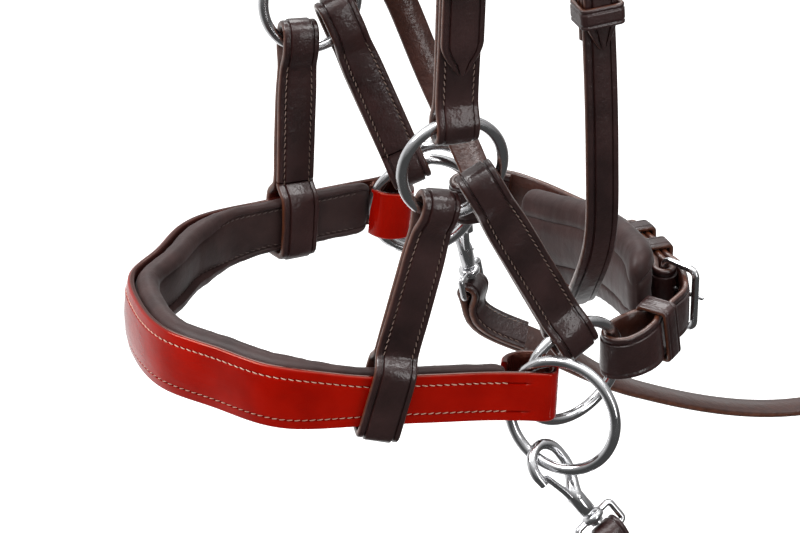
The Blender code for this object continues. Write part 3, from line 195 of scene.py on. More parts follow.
def between(before, start, end, after, share):
    """A centripetal curve from start to end."""
    t = [0.0]
    for one, two in ((before, start), (start, end), (end, after)):
        t.append(t[-1] + max(math.sqrt((two - one).length), 1e-6))
    x = t[1] + (t[2] - t[1]) * share

    def mix(a, b, ta, tb):
        return a * ((tb - x) / (tb - ta)) + b * ((x - ta) / (tb - ta))

    first = mix(before, start, t[0], t[1])
    second = mix(start, end, t[1], t[2])
    third = mix(end, after, t[2], t[3])
    return mix(mix(first, second, t[0], t[2]), mix(second, third, t[1], t[3]), t[1], t[2])


def eased(line, step):
    """The same line with more points, on a smooth curve no coarser than step."""
    spots = [Vector(point) for point in line]
    last = len(spots) - 1
    found = []
    for k in range(last):
        before = spots[k - 1] if k else spots[0] * 2 - spots[1]
        after = spots[k + 2] if k + 2 <= last else spots[last] * 2 - spots[last - 1]
        count = max(1, math.ceil((spots[k + 1] - spots[k]).length / step))
        found += [between(before, spots[k], spots[k + 1], after, j / count) for j in range(count)]
    return found + [spots[-1]]


def turned(centre_along, centre_out, deep, high, start, end, steps):
    """Points round part of an ellipse. Angles are in degrees, from +along towards +out."""
    points = []
    for k in range(steps + 1):
        turn = math.radians(start + (end - start) * k / steps)
        points.append((centre_along + deep * math.cos(turn), centre_out + high * math.sin(turn)))
    return points


def run(start, end, out, count):
    """Points along one layer, both ends left out."""
    return [(start + (end - start) * k / (count + 1), out) for k in range(1, count + 1)]


def step_between(value, start, end):
    """0 before start, 1 after end, smooth between."""
    share = min(max((value - start) / (end - start), 0.0), 1.0)
    return share * share * (3 - 2 * share)


def line_spots(line, step=FRAME_STEP):
    """Where each frame of a strip lies: how far along its route, and out from it."""
    return [(spot.x, spot.y) for spot in eased([(along, out, 0) for along, out in line], step)]


def strip_frames(route, line, width, thick, step=FRAME_STEP, hands=(1, 1)):
    """Where a strip lies: its middle, half its width and half its thickness, as vectors."""
    width_at = width if callable(width) else (lambda along: width)
    line = eased([(along, out, 0) for along, out in line], step)
    frames = []
    for k, spot in enumerate(line):
        turn = (line[min(k + 1, len(line) - 1)] - line[max(k - 1, 0)]).normalized()
        point, way, normal, side = route.frame(spot.x)
        face = (normal * turn.x - way * turn.y) * (thick / 2) * hands[1]
        frames.append((point + normal * spot.y, side * (width_at(spot.x) / 2) * hands[0], face))
    return frames


def mesh_object(name, points, faces, material, edge=None):
    """A smooth-shaded object for a mesh. edge is how bare of finish each point is."""
    mesh = bpy.data.meshes.new(name)
    mesh.from_pydata([tuple(point) for point in points], [], faces)
    mesh.validate()
    if edge:
        layer = mesh.attributes.new("pared_edge", "FLOAT", "POINT")
        layer.data.foreach_set("value", edge)
    mesh.shade_smooth()
    mesh.set_sharp_from_angle(angle=math.radians(55))
    mesh.materials.append(material)
    obj = bpy.data.objects.new(name, mesh)
    bpy.context.scene.collection.objects.link(obj)
    return obj


def skin_faces(rows, around, closed):
    """Faces between rows of points round a section, with the ends closed."""
    faces = []
    for r in range(rows if closed else rows - 1):
        one, two = r * around, (r + 1) % rows * around
        for k in range(around):
            after = (k + 1) % around
            faces.append((one + k, one + after, two + after, two + k))
    if not closed:
        faces.append(tuple(range(around)))
        faces.append(tuple(range((rows - 1) * around, rows * around))[::-1])
    return faces


def strap_section(crease, thick, back):
    """Half of a strap's section from its edge to its middle: inset, height share, bareness."""
    inset, deep, raised = crease
    edge_round = thick * EDGE_ROUND_SHARE
    half = []
    for turn, bare in ((-75, back), (-45, max(back, 0.35)), (-15, 1.0), (15, 1.0), (45, 0.35), (75, 0.0)):
        turn = math.radians(turn)
        half.append((edge_round * (1 - math.cos(turn)), math.sin(turn), bare))
    groove = deep / (thick / 2)
    lift = raised / (thick / 2)
    half += [(edge_round + CREASE_FLOOR, 1.0, 0.0), (inset - CREASE_LIP, 1.0, 0.0)]
    half += [(inset - CREASE_FLOOR, 1 - groove, 0.0), (inset + CREASE_FLOOR, 1 - groove, 0.0)]
    return half + [(inset + CREASE_LIP, 1 + lift * 0.8, 0.0), (inset + CREASE_SWELL, 1 + lift, 0.0)]


def leather_strip(name, frames, thick, material, crease, closed=False, domes=None, shares=None, back=0.3):
    """A strip of leather with rounded pared edges and a creased line along both of them. crease
    is the line's inset and depth, and how far the middle swells above the edges. domes is how
    far each frame stands out over stuffing, and shares how much of the crease it has. back is
    how bare of finish the flesh side is."""
    half = strap_section(crease, thick, back)
    ring = [(1, *spot) for spot in half] + [(0, 0.0, 1 + crease[2] / (thick / 2), 0.0)]
    ring += [(-1, *spot) for spot in reversed(half)] + [(0, 0.0, -1.0, back)]
    narrow = half[-1][0] * 1.35
    points, edge = [], []
    for k, (middle, side, face) in enumerate(frames):
        wide = side.length
        shrink = min(1.0, wide / narrow)
        dome = face.normalized() * domes[k] if domes else Vector()
        for hand, inset, height, bare in ring:
            across = hand * max(1 - inset * shrink / wide, 0.0)
            if shares and height > 0.5 and (hand == 0 or inset > thick * EDGE_ROUND_SHARE):
                height = 1 + (height - 1) * shares[k]
            points.append(middle + side * across + face * height + dome * (1 - across * across))
            edge.append(bare)
    return mesh_object(name, points, skin_faces(len(frames), len(ring), closed), material, edge)


def stitch_row(stitches, frames, start, end, hand, inset, pitch, top=1.0, slant=0.22, domes=None):
    """Adds the stitches of one row, from start to end along the strip, to (points, faces)."""
    at = [0.0]
    for one, two in zip(frames, frames[1:]):
        at.append(at[-1] + (two[0] - one[0]).length)
    end = at[-1] + end if end <= 0 else end
    points, faces = stitches
    count = int((end - start) / pitch)
    for n in range(count):
        spot = start + (n + 0.5) * pitch
        k = min(max(bisect_left(at, spot) - 1, 0), len(at) - 2)
        share = (spot - at[k]) / (at[k + 1] - at[k])
        middle, side, face = (one.lerp(two, share) for one, two in zip(frames[k], frames[k + 1]))
        way = (frames[k + 1][0] - frames[k][0]).normalized()
        across = side.normalized()
        out = face.normalized()
        way = (way + across * (slant * hand)).normalized()
        other = out.cross(way)
        across_share = 1 - inset / side.length
        centre = middle + side * (hand * across_share) + face * top
        if domes:
            centre += out * (domes[k] * (1 - across_share ** 2))
        first = len(points)
        for reach, swell, sink in ((-0.40, 0.35, -0.6), (-0.30, 0.85, 0.1), (0.0, 1.0, 0.45), (0.30, 0.85, 0.1),
                                   (0.40, 0.35, -0.6)):
            for j in range(6):
                turn = math.pi * j / 3
                points.append(centre + way * (reach * pitch) + out * (THREAD_THICK / 2 * sink)
                              + (other * math.cos(turn) + out * math.sin(turn)) * (THREAD_THICK / 2 * swell))
        faces += [tuple(first + v for v in f) for f in skin_faces(5, 6, False)]


def dress(piece, node):
    """The piece stands for a CAD node: it moves with the node's body, and the node itself is hidden."""
    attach(piece, body_of[node])
    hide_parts(node)
    return piece


def sew(name, stitches, material, node):
    """Puts rows of stitches on the body of the node that they are sewn in."""
    piece = mesh_object(name, *stitches, material)
    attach(piece, body_of[node])
    return piece


def round_route(near, far, lift):
    """A route through points from the near end round the front to the far end, lifted into place."""
    points = near + far
    outs = []
    for k, point in enumerate(points):
        way = (points[min(k + 1, len(points) - 1)] - points[max(k - 1, 0)]).normalized()
        outs.append(Vector((-way.y, way.x, 0)))
    return Route([lift @ point for point in points], [lift.to_3x3() @ out for out in outs])


def nose_height(along):
    """How high the noseband stands: full round the nose, lower at its ends."""
    near = step_between(along, NOSE_SHOULDER, NOSE_SHOULDER + NOSE_SHOULDER_RUN)
    far = step_between(nose.length - along, NOSE_SHOULDER, NOSE_SHOULDER + NOSE_SHOULDER_RUN)
    return NOSE_END_HEIGHT + (NOSE_FRONT_HEIGHT - NOSE_END_HEIGHT) * near * far


def stuffed(along):
    """0 where the hangers hold the noseband flat, 1 where it is stuffed round the nose."""
    return step_between(along, NOSE_STUFF_START, NOSE_STUFF_FULL) * step_between(
        nose.length - along, NOSE_STUFF_START, NOSE_STUFF_FULL)


# Shares of the half width, of the depth from the back, of the flare, and of the far side's lift.
nose_plan_shares = ((1.0, 0.0, 1.0), (1.0, 0.09, 0.45), (1.0, 0.181, 0.0), (0.956, 0.347, 0.0),
                    (0.887, 0.573, 0.0), (0.764, 0.754, 0.0), (0.529, 0.873, 0.0), (0.292, 0.978, 0.0),
                    (0.0, 1.0, 0.0))
far_plan_shares = ((0.272, 0.970, 0.0, 0.3), (0.471, 0.855, 0.0, 0.65), (0.688, 0.740, 0.0, 0.9),
                   (0.843, 0.568, 0.0, 1.0), (0.940, 0.347, 0.0, 1.0), (1.0, 0.181, 0.0, 0.9),
                   (1.0, 0.09, 0.45, 0.65), (1.0, 0.0, 1.0, 0.4))
near_plan = [Vector((NOSE_HALF * x + NOSE_FLARE * flare, NOSE_BACK - (NOSE_DEPTH + NOSE_BACK) * y, 0))
             for x, y, flare in nose_plan_shares]
far_plan = [Vector((-NOSE_HALF * x - NOSE_FLARE * flare, NOSE_BACK - (NOSE_DEPTH + NOSE_BACK) * y,
                    NOSE_FAR_LIFT * up)) for x, y, flare, up in far_plan_shares]
nose = round_route(near_plan, far_plan, Matrix.Translation(Vector((0, 0, -NOSE_LEVEL)))
                   @ Matrix.Rotation(math.radians(-NOSE_RISE), 4, "X"))
wide_shares = ((1.0, TUNNEL_INSIDE / TUNNEL_WIDE), (0.9, 0.70), (0.74, 0.86), (0.5, 0.97), (0.32, 1.0))
tunnels = []
for long in (NEAR_TUNNEL_LONG, FAR_TUNNEL_LONG):
    line = [(long * along, -TUNNEL_WIDE * out) for along, out in wide_shares]
    line += turned(TUNNEL_ROUND + TUNNEL_END, -TUNNEL_WIDE / 2, TUNNEL_ROUND, TUNNEL_WIDE / 2, 260, 90, 8)
    tunnels.append([(along - out / TUNNEL_WIDE * TUNNEL_SKEW, out) for along, out in line])
tunnel, far_tunnel = tunnels[0], [(nose.length - along, out) for along, out in reversed(tunnels[1])]
nose_line = tunnel + run(tunnel[-1][0], far_tunnel[0][0], 0.0, 44) + far_tunnel
nose_frames = strip_frames(nose, nose_line, nose_height, PATENT_THICK)
red_patent = patent_leather()
cream_thread = thread("linen_thread_waxed_cream", "#f2cdb8", "#c98f78")
nose_domes = [NOSE_DOME * stuffed(along) for along, out in line_spots(nose_line)]
nose_shares = []
for along, out in line_spots(nose_line):
    end_along = min(along, nose.length - along)
    crease_share = step_between(end_along, NOSE_PLAIN_END, NOSE_PLAIN_END + NOSE_PLAIN_RUN)
    nose_shares.append(crease_share if out > -PATENT_THICK else 0.0)
nose_strap = leather_strip("patent_nose_strap", nose_frames, PATENT_THICK, red_patent, PATENT_CREASE,
                           domes=nose_domes, shares=nose_shares, back=1.0)
dress(nose_strap, "noseband_patent_strap")
rows = ([], [])
for hand in (1, -1):
    stitch_row(rows, nose_frames, NEAR_STITCH_START, -FAR_STITCH_START, hand, PATENT_STITCH_INSET, PATENT_PITCH,
               0.80, domes=nose_domes)
sew("nose_strap_stitching", rows, cream_thread, "noseband_patent_strap")


# Noseband lining: soft nappa leather over felt, sewn to the back of the patent strap. It is
# stuffed into a roll along both edges, flat between the two seams, and drawn in at its ends.
LINING_THIN = 0.0046
LINING_FULL = 0.0090
LINING_PROUD = 0.0010
LINING_STEP = 0.0016
ROLL_OVER = 0.0012
SEAM_START = 0.003
SEAM_LEAD = 0.002
RUCK_NARROW = 0.007
RUCK_WIDE = 0.020


def nappa_leather():
    """Soft drum-dyed nappa: fine even grain, a dull sheen and small pull creases. The pores are
    drawn coarser than real ones, so that they show."""
    made, tree, shader, place = new_material(
        "nappa_leather_drum_dyed", Roughness=0.5, IOR=1.5, Specular_IOR_Level=0.3, Sheen_Weight=0.10,
        Sheen_Roughness=0.4)
    cloud = add_node(tree, "TexNoise", {"Vector": place, "Scale": 1 / 0.012, "Detail": 4.0}).outputs["Fac"]
    tone = add_node(tree, "MapRange", {"Value": cloud, "From Min": 0.3, "From Max": 0.7}).outputs[0]
    mix = add_node(tree, "Mix", {0: tone, 6: colour("#281918"), 7: colour("#3a2624")}, data_type="RGBA")
    tree.links.new(mix.outputs[2], shader.inputs["Base Color"])
    pores = add_node(tree, "TexVoronoi", {"Vector": place, "Scale": 1 / 0.0008}, feature="SMOOTH_F1").outputs[0]
    creases = add_node(tree, "TexNoise", {"Vector": place, "Scale": 1 / 0.003, "Detail": 6.0}).outputs["Fac"]
    fine = add_node(tree, "Bump", {"Height": pores, "Strength": 0.30, "Distance": 0.0001}).outputs[0]
    both = add_node(tree, "Bump", {"Height": creases, "Strength": 0.35, "Distance": 0.0004, "Normal": fine})
    tree.links.new(both.outputs[0], shader.inputs["Normal"])
    return made


def padded_strip(name, route, start, end, out, width, thick, section, material, rise=None, ends=(0.6, 0.6),
                 end_runs=(0.005, 0.005), wrinkle=0.00025, wrinkle_long=0.005, step=LINING_STEP):
    """A stuffed strip whose outer face lies at out. section gives (across share, depth share)
    round it, 0 the outer face. width, thick and section may vary along it. ends is how full it
    still is at each end, and end_runs how long it takes to be drawn in."""
    width_at = width if callable(width) else (lambda along: width)
    thick_at = thick if callable(thick) else (lambda along: thick)
    section_at = section if callable(section) else (lambda along: section)
    rise_at = rise or (lambda along: 0.0)
    count = math.ceil((end - start) / step)
    stations = [start + (end - start) * k / count for k in range(count + 1)]
    close = [1 - math.cos(math.pi / 2 * k / 9) for k in range(10)]
    stations = [s for s in stations if start + end_runs[0] < s < end - end_runs[1]]
    stations = [start + c * end_runs[0] for c in close] + stations + [end - c * end_runs[1] for c in reversed(close)]
    points = []
    for along in stations:
        nearer = 0 if along - start < end - along else 1
        left = max(0.0, 1 - (end - along if nearer else along - start) / end_runs[nearer])
        swell = ends[nearer] + (1 - ends[nearer]) * math.sqrt(1 - left * left)
        point, way, normal, side = route.frame(along)
        middle = point + side * rise_at(along) + normal * (out - thick_at(along) / 2)
        half = width_at(along) / 2
        around = section_at(along)
        for across, depth in around:
            spot = middle + side * (half * across * (0.5 + swell / 2))
            spot += normal * ((0.5 - depth) * thick_at(along) * swell)
            ruck = noise.noise(Vector((along / wrinkle_long, across * half / RUCK_NARROW, depth * 2 + out * 90)))
            ruck += 0.5 * noise.noise(Vector((along / wrinkle_long * 2.3, across * half / RUCK_WIDE, depth * 3)))
            pull = 0.35 + 0.65 * abs(across)
            aim = side * across * 0.4 + normal * (0.5 - depth) * 2
            points.append(spot + aim.normalized() * (ruck * wrinkle * pull))
    return mesh_object(name, points, skin_faces(len(stations), len(around), False), material)


def rolled_section(roll, channel, crown, fine=7):
    """Round a lining: flat outer face, a roll along each edge and a sewn channel beside it."""
    inner = []
    for k in range(fine * 2 + 1):
        turn = math.radians(90 - 180 * k / (fine * 2))
        inner.append((1 - roll + roll * math.cos(turn), 0.5 - 0.5 * math.sin(turn)))
    bed = 1 - roll - 0.06
    half = [(0.30, 0.0), (0.55, 0.0)] + inner
    half += [(bed + 0.02, 1 - channel), (bed - 0.02, 1 - channel), (bed - 0.08, crown - 0.06), (bed - 0.2, crown),
             (bed * 0.35, crown + 0.03)]
    return [(0.0, 0.0)] + half + [(0.0, crown + 0.04)] + [(-across, depth) for across, depth in reversed(half)]


def lining_thick(along):
    """Thin where the hangers hold it and at its ends, full round the nose."""
    return LINING_THIN + (LINING_FULL - LINING_THIN) * stuffed(along)


def lining_section(along):
    """Flat with a thin roll at the ends, fuller rolls and a deeper channel round the nose."""
    full = stuffed(along)
    return rolled_section(0.20 + 0.16 * full, 0.14 + 0.20 * full, 0.97 - 0.17 * full)


def seam_frame(along):
    """Where the lining's seams lie: the middle, half the distance between them, and inwards."""
    full = stuffed(along)
    point, way, normal, side = nose.frame(along)
    middle = point + normal * (lining_out - lining_thick(along) * (0.86 - 0.20 * full))
    return middle, side * (nose_height(along) / 2 * (0.74 - 0.16 * full)), normal * -THREAD_THICK


soft_leather = nappa_leather()
lining_out = -(PATENT_THICK / 2 + GAP)
lining_start, lining_end = tunnel[0][0] + GAP, far_tunnel[-1][0] - GAP
nose_lining = padded_strip("nose_strap_lining", nose, lining_start, lining_end, lining_out,
                           lambda along: nose_height(along) + LINING_PROUD + ROLL_OVER, lining_thick, lining_section,
                           soft_leather)
dress(nose_lining, "noseband_lining")
seam_long = lining_end - lining_start - SEAM_START * 2
inside_frames = [seam_frame(lining_start + SEAM_START + seam_long * k / 240) for k in range(241)]
rows = ([], [])
for hand in (1, -1):
    stitch_row(rows, inside_frames, SEAM_LEAD, -SEAM_LEAD, hand, 0.0, PATENT_PITCH, 0.5)
dark_thread = thread("linen_thread_waxed_dark", "#5c463e", "#2c1e1a")
sew("nose_lining_stitching", rows, dark_thread, "noseband_lining")


# Rings: round steel wire bent, butt welded, polished and chromium plated. Two hang at the
# cheeks, two join the noseband to the chin strap, and two carry the reins.
RING_WIRE = 0.0042
UPPER_RING_OUTER = 0.0422
LOWER_RING_OUTER = 0.0465


class Ring:
    """A ring on the near side (1) or the far one (-1): how far across, back and down its centre
    is, and how many degrees it is turned about the upright and leant out of it."""

    def __init__(self, side, across, back, drop, turn, lean, outer):
        self.centre = Vector((side * across, back, -drop))
        yaw, roll = math.radians(turn), math.radians(lean)
        self.normal = Vector((side * math.cos(yaw) * math.cos(roll), math.sin(yaw) * math.cos(roll), -math.sin(roll)))
        self.rear = (Vector((0, 0, 1)).cross(self.normal) * side).normalized()
        self.up = self.normal.cross(self.rear) * side
        self.radius = (outer - RING_WIRE) / 2

    def at(self, angle):
        """A point on the wire's centre line, from the rear upwards, and the arm to it."""
        turn = math.radians(angle)
        arm = self.rear * math.cos(turn) + self.up * math.sin(turn)
        return self.centre + arm * self.radius, arm


def chromium():
    """Polished chromium plate: near mirror, softened by fine handling scratches."""
    made, tree, shader, place = new_material("steel_chromium_plated", Metallic=1.0)
    shader.inputs["Base Color"].default_value = colour("#dadadc")
    rub = add_node(tree, "TexNoise", {"Vector": place, "Scale": 1 / 0.006, "Detail": 5.0}).outputs["Fac"]
    gloss = add_node(tree, "MapRange", {"Value": rub, "From Min": 0.35, "From Max": 0.7, "To Min": 0.12,
                                        "To Max": 0.26}).outputs[0]
    tree.links.new(gloss, shader.inputs["Roughness"])
    dents = add_node(tree, "TexNoise", {"Vector": place, "Scale": 1 / 0.0035, "Detail": 2.0}).outputs["Fac"]
    bump = add_node(tree, "Bump", {"Height": dents, "Strength": 0.25, "Distance": 0.00025}).outputs[0]
    tree.links.new(bump, shader.inputs["Normal"])
    return made


def make_ring(name, ring, node):
    """A closed ring of round wire that stands for a node."""
    points = []
    for k in range(128):
        arm = ring.at(360 * k / 128)[1]
        for j in range(20):
            turn = math.pi * j / 10
            points.append(ring.centre + arm * (ring.radius + RING_WIRE / 2 * math.cos(turn))
                          + ring.normal * (RING_WIRE / 2 * math.sin(turn)))
    dress(mesh_object(name, points, skin_faces(128, 20, True), chrome), node)


chrome = chromium()
# Side, across, back, drop, turn, lean and outer size.
uppers = {side: Ring(side, 0.082, -0.0098, 0.4302, 0.0, 6.0, UPPER_RING_OUTER) for side in (1, -1)}
junctions = {1: Ring(1, 0.0725, 0.0411, 0.5246, 15.6, 8.6, LOWER_RING_OUTER),
             -1: Ring(-1, 0.0765, 0.0352, 0.5218, 6.7, -8.1, LOWER_RING_OUTER)}
rein_rings = {1: Ring(1, 0.0942, 0.0289, 0.5304, -45.0, -4.2, LOWER_RING_OUTER),
              -1: Ring(-1, 0.0875, 0.0400, 0.5225, -11.0, -3.0, LOWER_RING_OUTER)}
hands = {1: "near", -1: "far"}
for side, hand in hands.items():
    make_ring("cheek_ring_" + hand, uppers[side], "upper_ring_" + hand)
    make_ring("chin_ring_" + hand, junctions[side], "junction_ring_" + hand)
    make_ring("rein_ring_wire_" + hand, rein_rings[side], "rein_ring_" + hand)


# Hangers: bridle leather doubled round its fittings and sewn along both edges. The front pair
# runs from the cheek rings round the noseband, the rear pair down to the chin rings.
STRAP_WIDTH = 0.016
STRAP_THICK = 0.0028
NECK = 0.007
HANGER_NECK = 0.0050
LAYER = (STRAP_THICK + GAP) / 2
DOUBLED = (-LAYER, LAYER)
FACE = STRAP_THICK + GAP / 2
HANGER_TOP_WIDTH = 0.0145
HANGER_EASE = 0.0004
STITCH_PITCH = 0.0026
STITCH_INSET = 0.0026
STITCH_ROW_STEP = 0.006
STITCH_LEAD = 0.001
FRONT_FOOT_LEAD = 0.002
HANGER_SKIVE = 0.020
HANGER_CREASE = (STITCH_INSET, 0.00055, 0.0006)
HANGER_SEAM_SHARE = 0.975
FRONT_HANGER_ANGLE = -108.0
REAR_HANGER_ANGLE = -44.0


def bridle_leather():
    """Curried bridle leather: dark brown, waxed and glazed, so that it shines at its bends. Its
    pores break the light up, drawn coarser than real ones so that they show, and its cut edges
    are lighter where the dye hasn't struck through."""
    made, tree, shader, place = new_material(
        "bridle_leather_curried", IOR=1.5, Specular_IOR_Level=0.4, Coat_Weight=0.55, Coat_Roughness=0.14)
    cloud = add_node(tree, "TexNoise", {"Vector": place, "Scale": 1 / 0.02, "Detail": 5.0}).outputs["Fac"]
    tone = add_node(tree, "MapRange", {"Value": cloud, "From Min": 0.3, "From Max": 0.7}).outputs[0]
    hide = add_node(tree, "Mix", {0: tone, 6: colour("#21100f"), 7: colour("#381c1a")}, data_type="RGBA").outputs[2]
    edge = add_node(tree, "Attribute", {}, attribute_name="pared_edge").outputs["Fac"]
    fibre = add_node(tree, "TexNoise", {"Vector": place, "Scale": 1 / 0.0025, "Detail": 3.0}).outputs["Fac"]
    raw = add_node(tree, "Mix", {0: fibre, 6: colour("#34190e"), 7: colour("#6a3820")}, data_type="RGBA").outputs[2]
    mix = add_node(tree, "Mix", {0: edge, 6: hide, 7: raw}, data_type="RGBA").outputs[2]
    tree.links.new(mix, shader.inputs["Base Color"])
    polish = add_node(tree, "MapRange", {"Value": cloud, "From Min": 0.3, "From Max": 0.7, "To Min": 0.30,
                                         "To Max": 0.46}).outputs[0]
    tree.links.new(polish, shader.inputs["Roughness"])
    pores = add_node(tree, "TexVoronoi", {"Vector": place, "Scale": 1 / 0.0009}, feature="SMOOTH_F1").outputs[0]
    fine = add_node(tree, "Bump", {"Height": pores, "Strength": 0.45, "Distance": 0.00015}).outputs[0]
    swells = add_node(tree, "TexNoise", {"Vector": place, "Scale": 1 / 0.0035, "Detail": 4.0}).outputs["Fac"]
    both = add_node(tree, "Bump", {"Height": swells, "Strength": 0.5, "Distance": 0.0006, "Normal": fine}).outputs[0]
    tree.links.new(both, shader.inputs["Normal"])
    tree.links.new(both, shader.inputs["Coat Normal"])
    return made


def eye(centre, way, near, far, inner, outer, corner, layers, neck=NECK):
    """The line of a strap round what it holds, as (along, out) from the inner layer to the outer."""
    low, high = layers
    start = centre - way * near
    middle = centre + way * (far - corner)
    first, second = ((270, 360), (0, 90)) if way > 0 else ((270, 180), (180, 90))
    line = [(start - way * neck, low), (start - way * neck / 2, (low - inner) / 2), (start, -inner)]
    line += turned(middle, corner - inner, corner, corner, *first, 6)
    line += turned(middle, outer - corner, corner, corner, *second, 6)
    line += [(start, outer), (start - way * neck / 2, (high + outer) / 2), (start - way * neck, high)]
    return thinned(line)


def thinned(line):
    """The line without points that lie on each other."""
    kept = line[:1]
    for point in line[1:]:
        if math.dist(point, kept[-1]) > GAP / 2:
            kept.append(point)
    return kept


def ring_eye(route, place_along, way, layers, ring, angle, width=STRAP_WIDTH):
    """A fold round a ring's wire, as roomy as the wire's bow needs across the strap's width."""
    point, line, out, across = route.frame(place_along)
    reach = RING_WIRE / 2 + GAP * 2 + STRAP_THICK / 2
    alongs, outs = [], []
    for step in range(-30, 31):
        wire = ring.at(angle + 45.0 * step / 30)[0] - point
        if abs(wire.dot(across)) <= (width + RING_WIRE) / 2:
            alongs.append(wire.dot(line))
            outs.append(wire.dot(out))
    low, high = min(alongs), max(alongs)
    slot = (high - low) / 2
    return eye(place_along + (low + high) / 2, way, slot, slot + reach, reach - min(outs), reach + max(outs),
               reach, layers)


def doubled_line(low_eye, high_eye, seam_share=0.5):
    """One strip folded at both ends, its own ends meeting on the inner layer."""
    seam = low_eye[0][0] + (high_eye[-1][0] - low_eye[0][0]) * seam_share
    line = [(seam - GAP, -LAYER)] + low_eye
    return line + run(low_eye[-1][0], high_eye[0][0], LAYER, 2) + high_eye + [(seam + GAP, -LAYER)]


def flat_rows(stitches, route, start, end, out, width, thick, hands=(1, 1), inset=STITCH_INSET,
              pitch=STITCH_PITCH, top=0.85):
    """Two rows of stitches on one face of a strap, between two places on its route. (1, -1) for
    hands puts them on the inner face."""
    count = max(2, round((end - start) / STITCH_ROW_STEP))
    line = [(start + (end - start) * k / count, out) for k in range(count + 1)]
    frames = strip_frames(route, line, width, thick, hands=hands)
    for hand in (1, -1):
        stitch_row(stitches, frames, 0.0, 0.0, hand, inset, pitch, top)


def hanger_width(along):
    """Skived narrower at the top, where two hangers share a ring."""
    return HANGER_TOP_WIDTH + (STRAP_WIDTH - HANGER_TOP_WIDTH) * step_between(along, 0.0, HANGER_SKIVE)


def nearest_along(route, value, axis, start, end):
    """Where along a route a coordinate reaches a value, between two places."""
    for _ in range(40):
        middle = (start + end) / 2
        if (route.frame(middle)[0][axis] - value) * (route.frame(start)[0][axis] - value) <= 0:
            end = middle
        else:
            start = middle
    return (start + end) / 2


def make_hanger(name, route, line, node, low, high):
    """A doubled hanger with its two rows of stitches on each side, from low to high."""
    frames = strip_frames(route, line, hanger_width, STRAP_THICK)
    dress(leather_strip(name, frames, STRAP_THICK, leather, HANGER_CREASE), node)
    rows = ([], [])
    flat_rows(rows, route, low, high, LAYER, hanger_width, STRAP_THICK)
    flat_rows(rows, route, low, high, -LAYER, hanger_width, STRAP_THICK, hands=(1, -1))
    sew(name + "_stitching", rows, brown_thread, node)


leather = bridle_leather()
brown_thread = thread("linen_thread_waxed_brown", "#9a8074", "#4a342c")
# How far back each front hanger stands on the noseband, and where each rear one holds its ring.
foot_backs = {1: -0.0335, -1: -0.0210}
foot_angles = {1: 104.0, -1: 112.0}
for side, hand in hands.items():
    upper = uppers[side]
    top = upper.at(FRONT_HANGER_ANGLE)[0]
    ends = (0.0, nose.length / 2) if side > 0 else (nose.length, nose.length / 2)
    point, way, out, across = nose.frame(nearest_along(nose, foot_backs[side], 1, *ends))
    stack = PATENT_THICK + GAP + LINING_THIN
    foot = point + out * (PATENT_THICK / 2 - stack / 2)
    down = (foot - top).normalized()
    route = Route([top, top.lerp(foot, 0.5), foot], [upper.normal, upper.normal.lerp(out, 0.5), out])
    stand = stack / 2 + GAP + HANGER_EASE + STRAP_THICK / 2
    near = (NOSE_END_HEIGHT + LINING_PROUD) / 2 / abs(down.dot(across)) + STRAP_WIDTH / 2 * abs(down.dot(way))
    near += HANGER_EASE
    low = eye(route.length, 1, near, near + GAP + STRAP_THICK / 2, stand, stand, STRAP_THICK, DOUBLED, HANGER_NECK)
    high = ring_eye(route, 0.0, -1, DOUBLED, upper, FRONT_HANGER_ANGLE, HANGER_TOP_WIDTH)
    line = doubled_line(high, low[::-1], HANGER_SEAM_SHARE)
    make_hanger("front_hanger_strap_" + hand, route, line, "front_hanger_" + hand, high[-1][0] - STITCH_LEAD,
                low[0][0] + FRONT_FOOT_LEAD)
    junction = junctions[side]
    top = upper.at(REAR_HANGER_ANGLE)[0]
    foot = junction.at(foot_angles[side])[0]
    outs = [upper.normal, upper.normal.lerp(junction.normal, 0.5), junction.normal]
    route = Route([top, top.lerp(foot, 0.5), foot], outs)
    high = ring_eye(route, 0.0, -1, DOUBLED, upper, REAR_HANGER_ANGLE, HANGER_TOP_WIDTH)
    low = ring_eye(route, route.length, 1, DOUBLED, junction, foot_angles[side])
    line = doubled_line(high, low[::-1], HANGER_SEAM_SHARE)
    make_hanger("rear_hanger_strap_" + hand, route, line, "rear_hanger_" + hand, high[-1][0] - STITCH_LEAD,
                low[0][0] + STITCH_LEAD)


# Cheekpieces: doubled bridle leather from the cheek rings up to a buckle, with a sewn keeper
# and a sliding runner for the billet.
BILLET_THICK = 0.0024
KEEPER_THICK = 0.0018
KEEPER_LONG = 0.008
BUCKLE_WIRE = 0.0026
BUCKLE_LONG = 0.0150
BUCKLE_CORNER = 0.0030
BUCKLE_EASE = 0.0015
BUCKLE_SWELL = 0.16
BUCKLE_SWELL_START = 0.004
BUCKLE_SWELL_FULL = 0.012
TONGUE_WIRE = 0.0022
TONGUE_RISE = 0.0002
KEEPER_CREASE = (0.0016, 0.0003, 0.0001)
CHEEK_CREASE = (STITCH_INSET, 0.00045, 0.0003)
CHEEK_LONG = 0.092
CHEEK_LEAN = 5.0
CHEEK_KEEPER_PLACE = 0.058
CHEEK_RUNNER_PLACE = 0.073


def bar_eye(centre, way, layers, wire=BUCKLE_WIRE):
    """A fold round a buckle's bar."""
    reach = wire / 2 + GAP * 2 + STRAP_THICK / 2
    return eye(centre, way, 0.0, reach, reach, reach, reach, layers)


def buckle_stack(thick):
    """How far out a billet's middle lies where it passes over a buckle's bar and the fold."""
    return BUCKLE_WIRE / 2 + GAP * 3 + STRAP_THICK + thick / 2


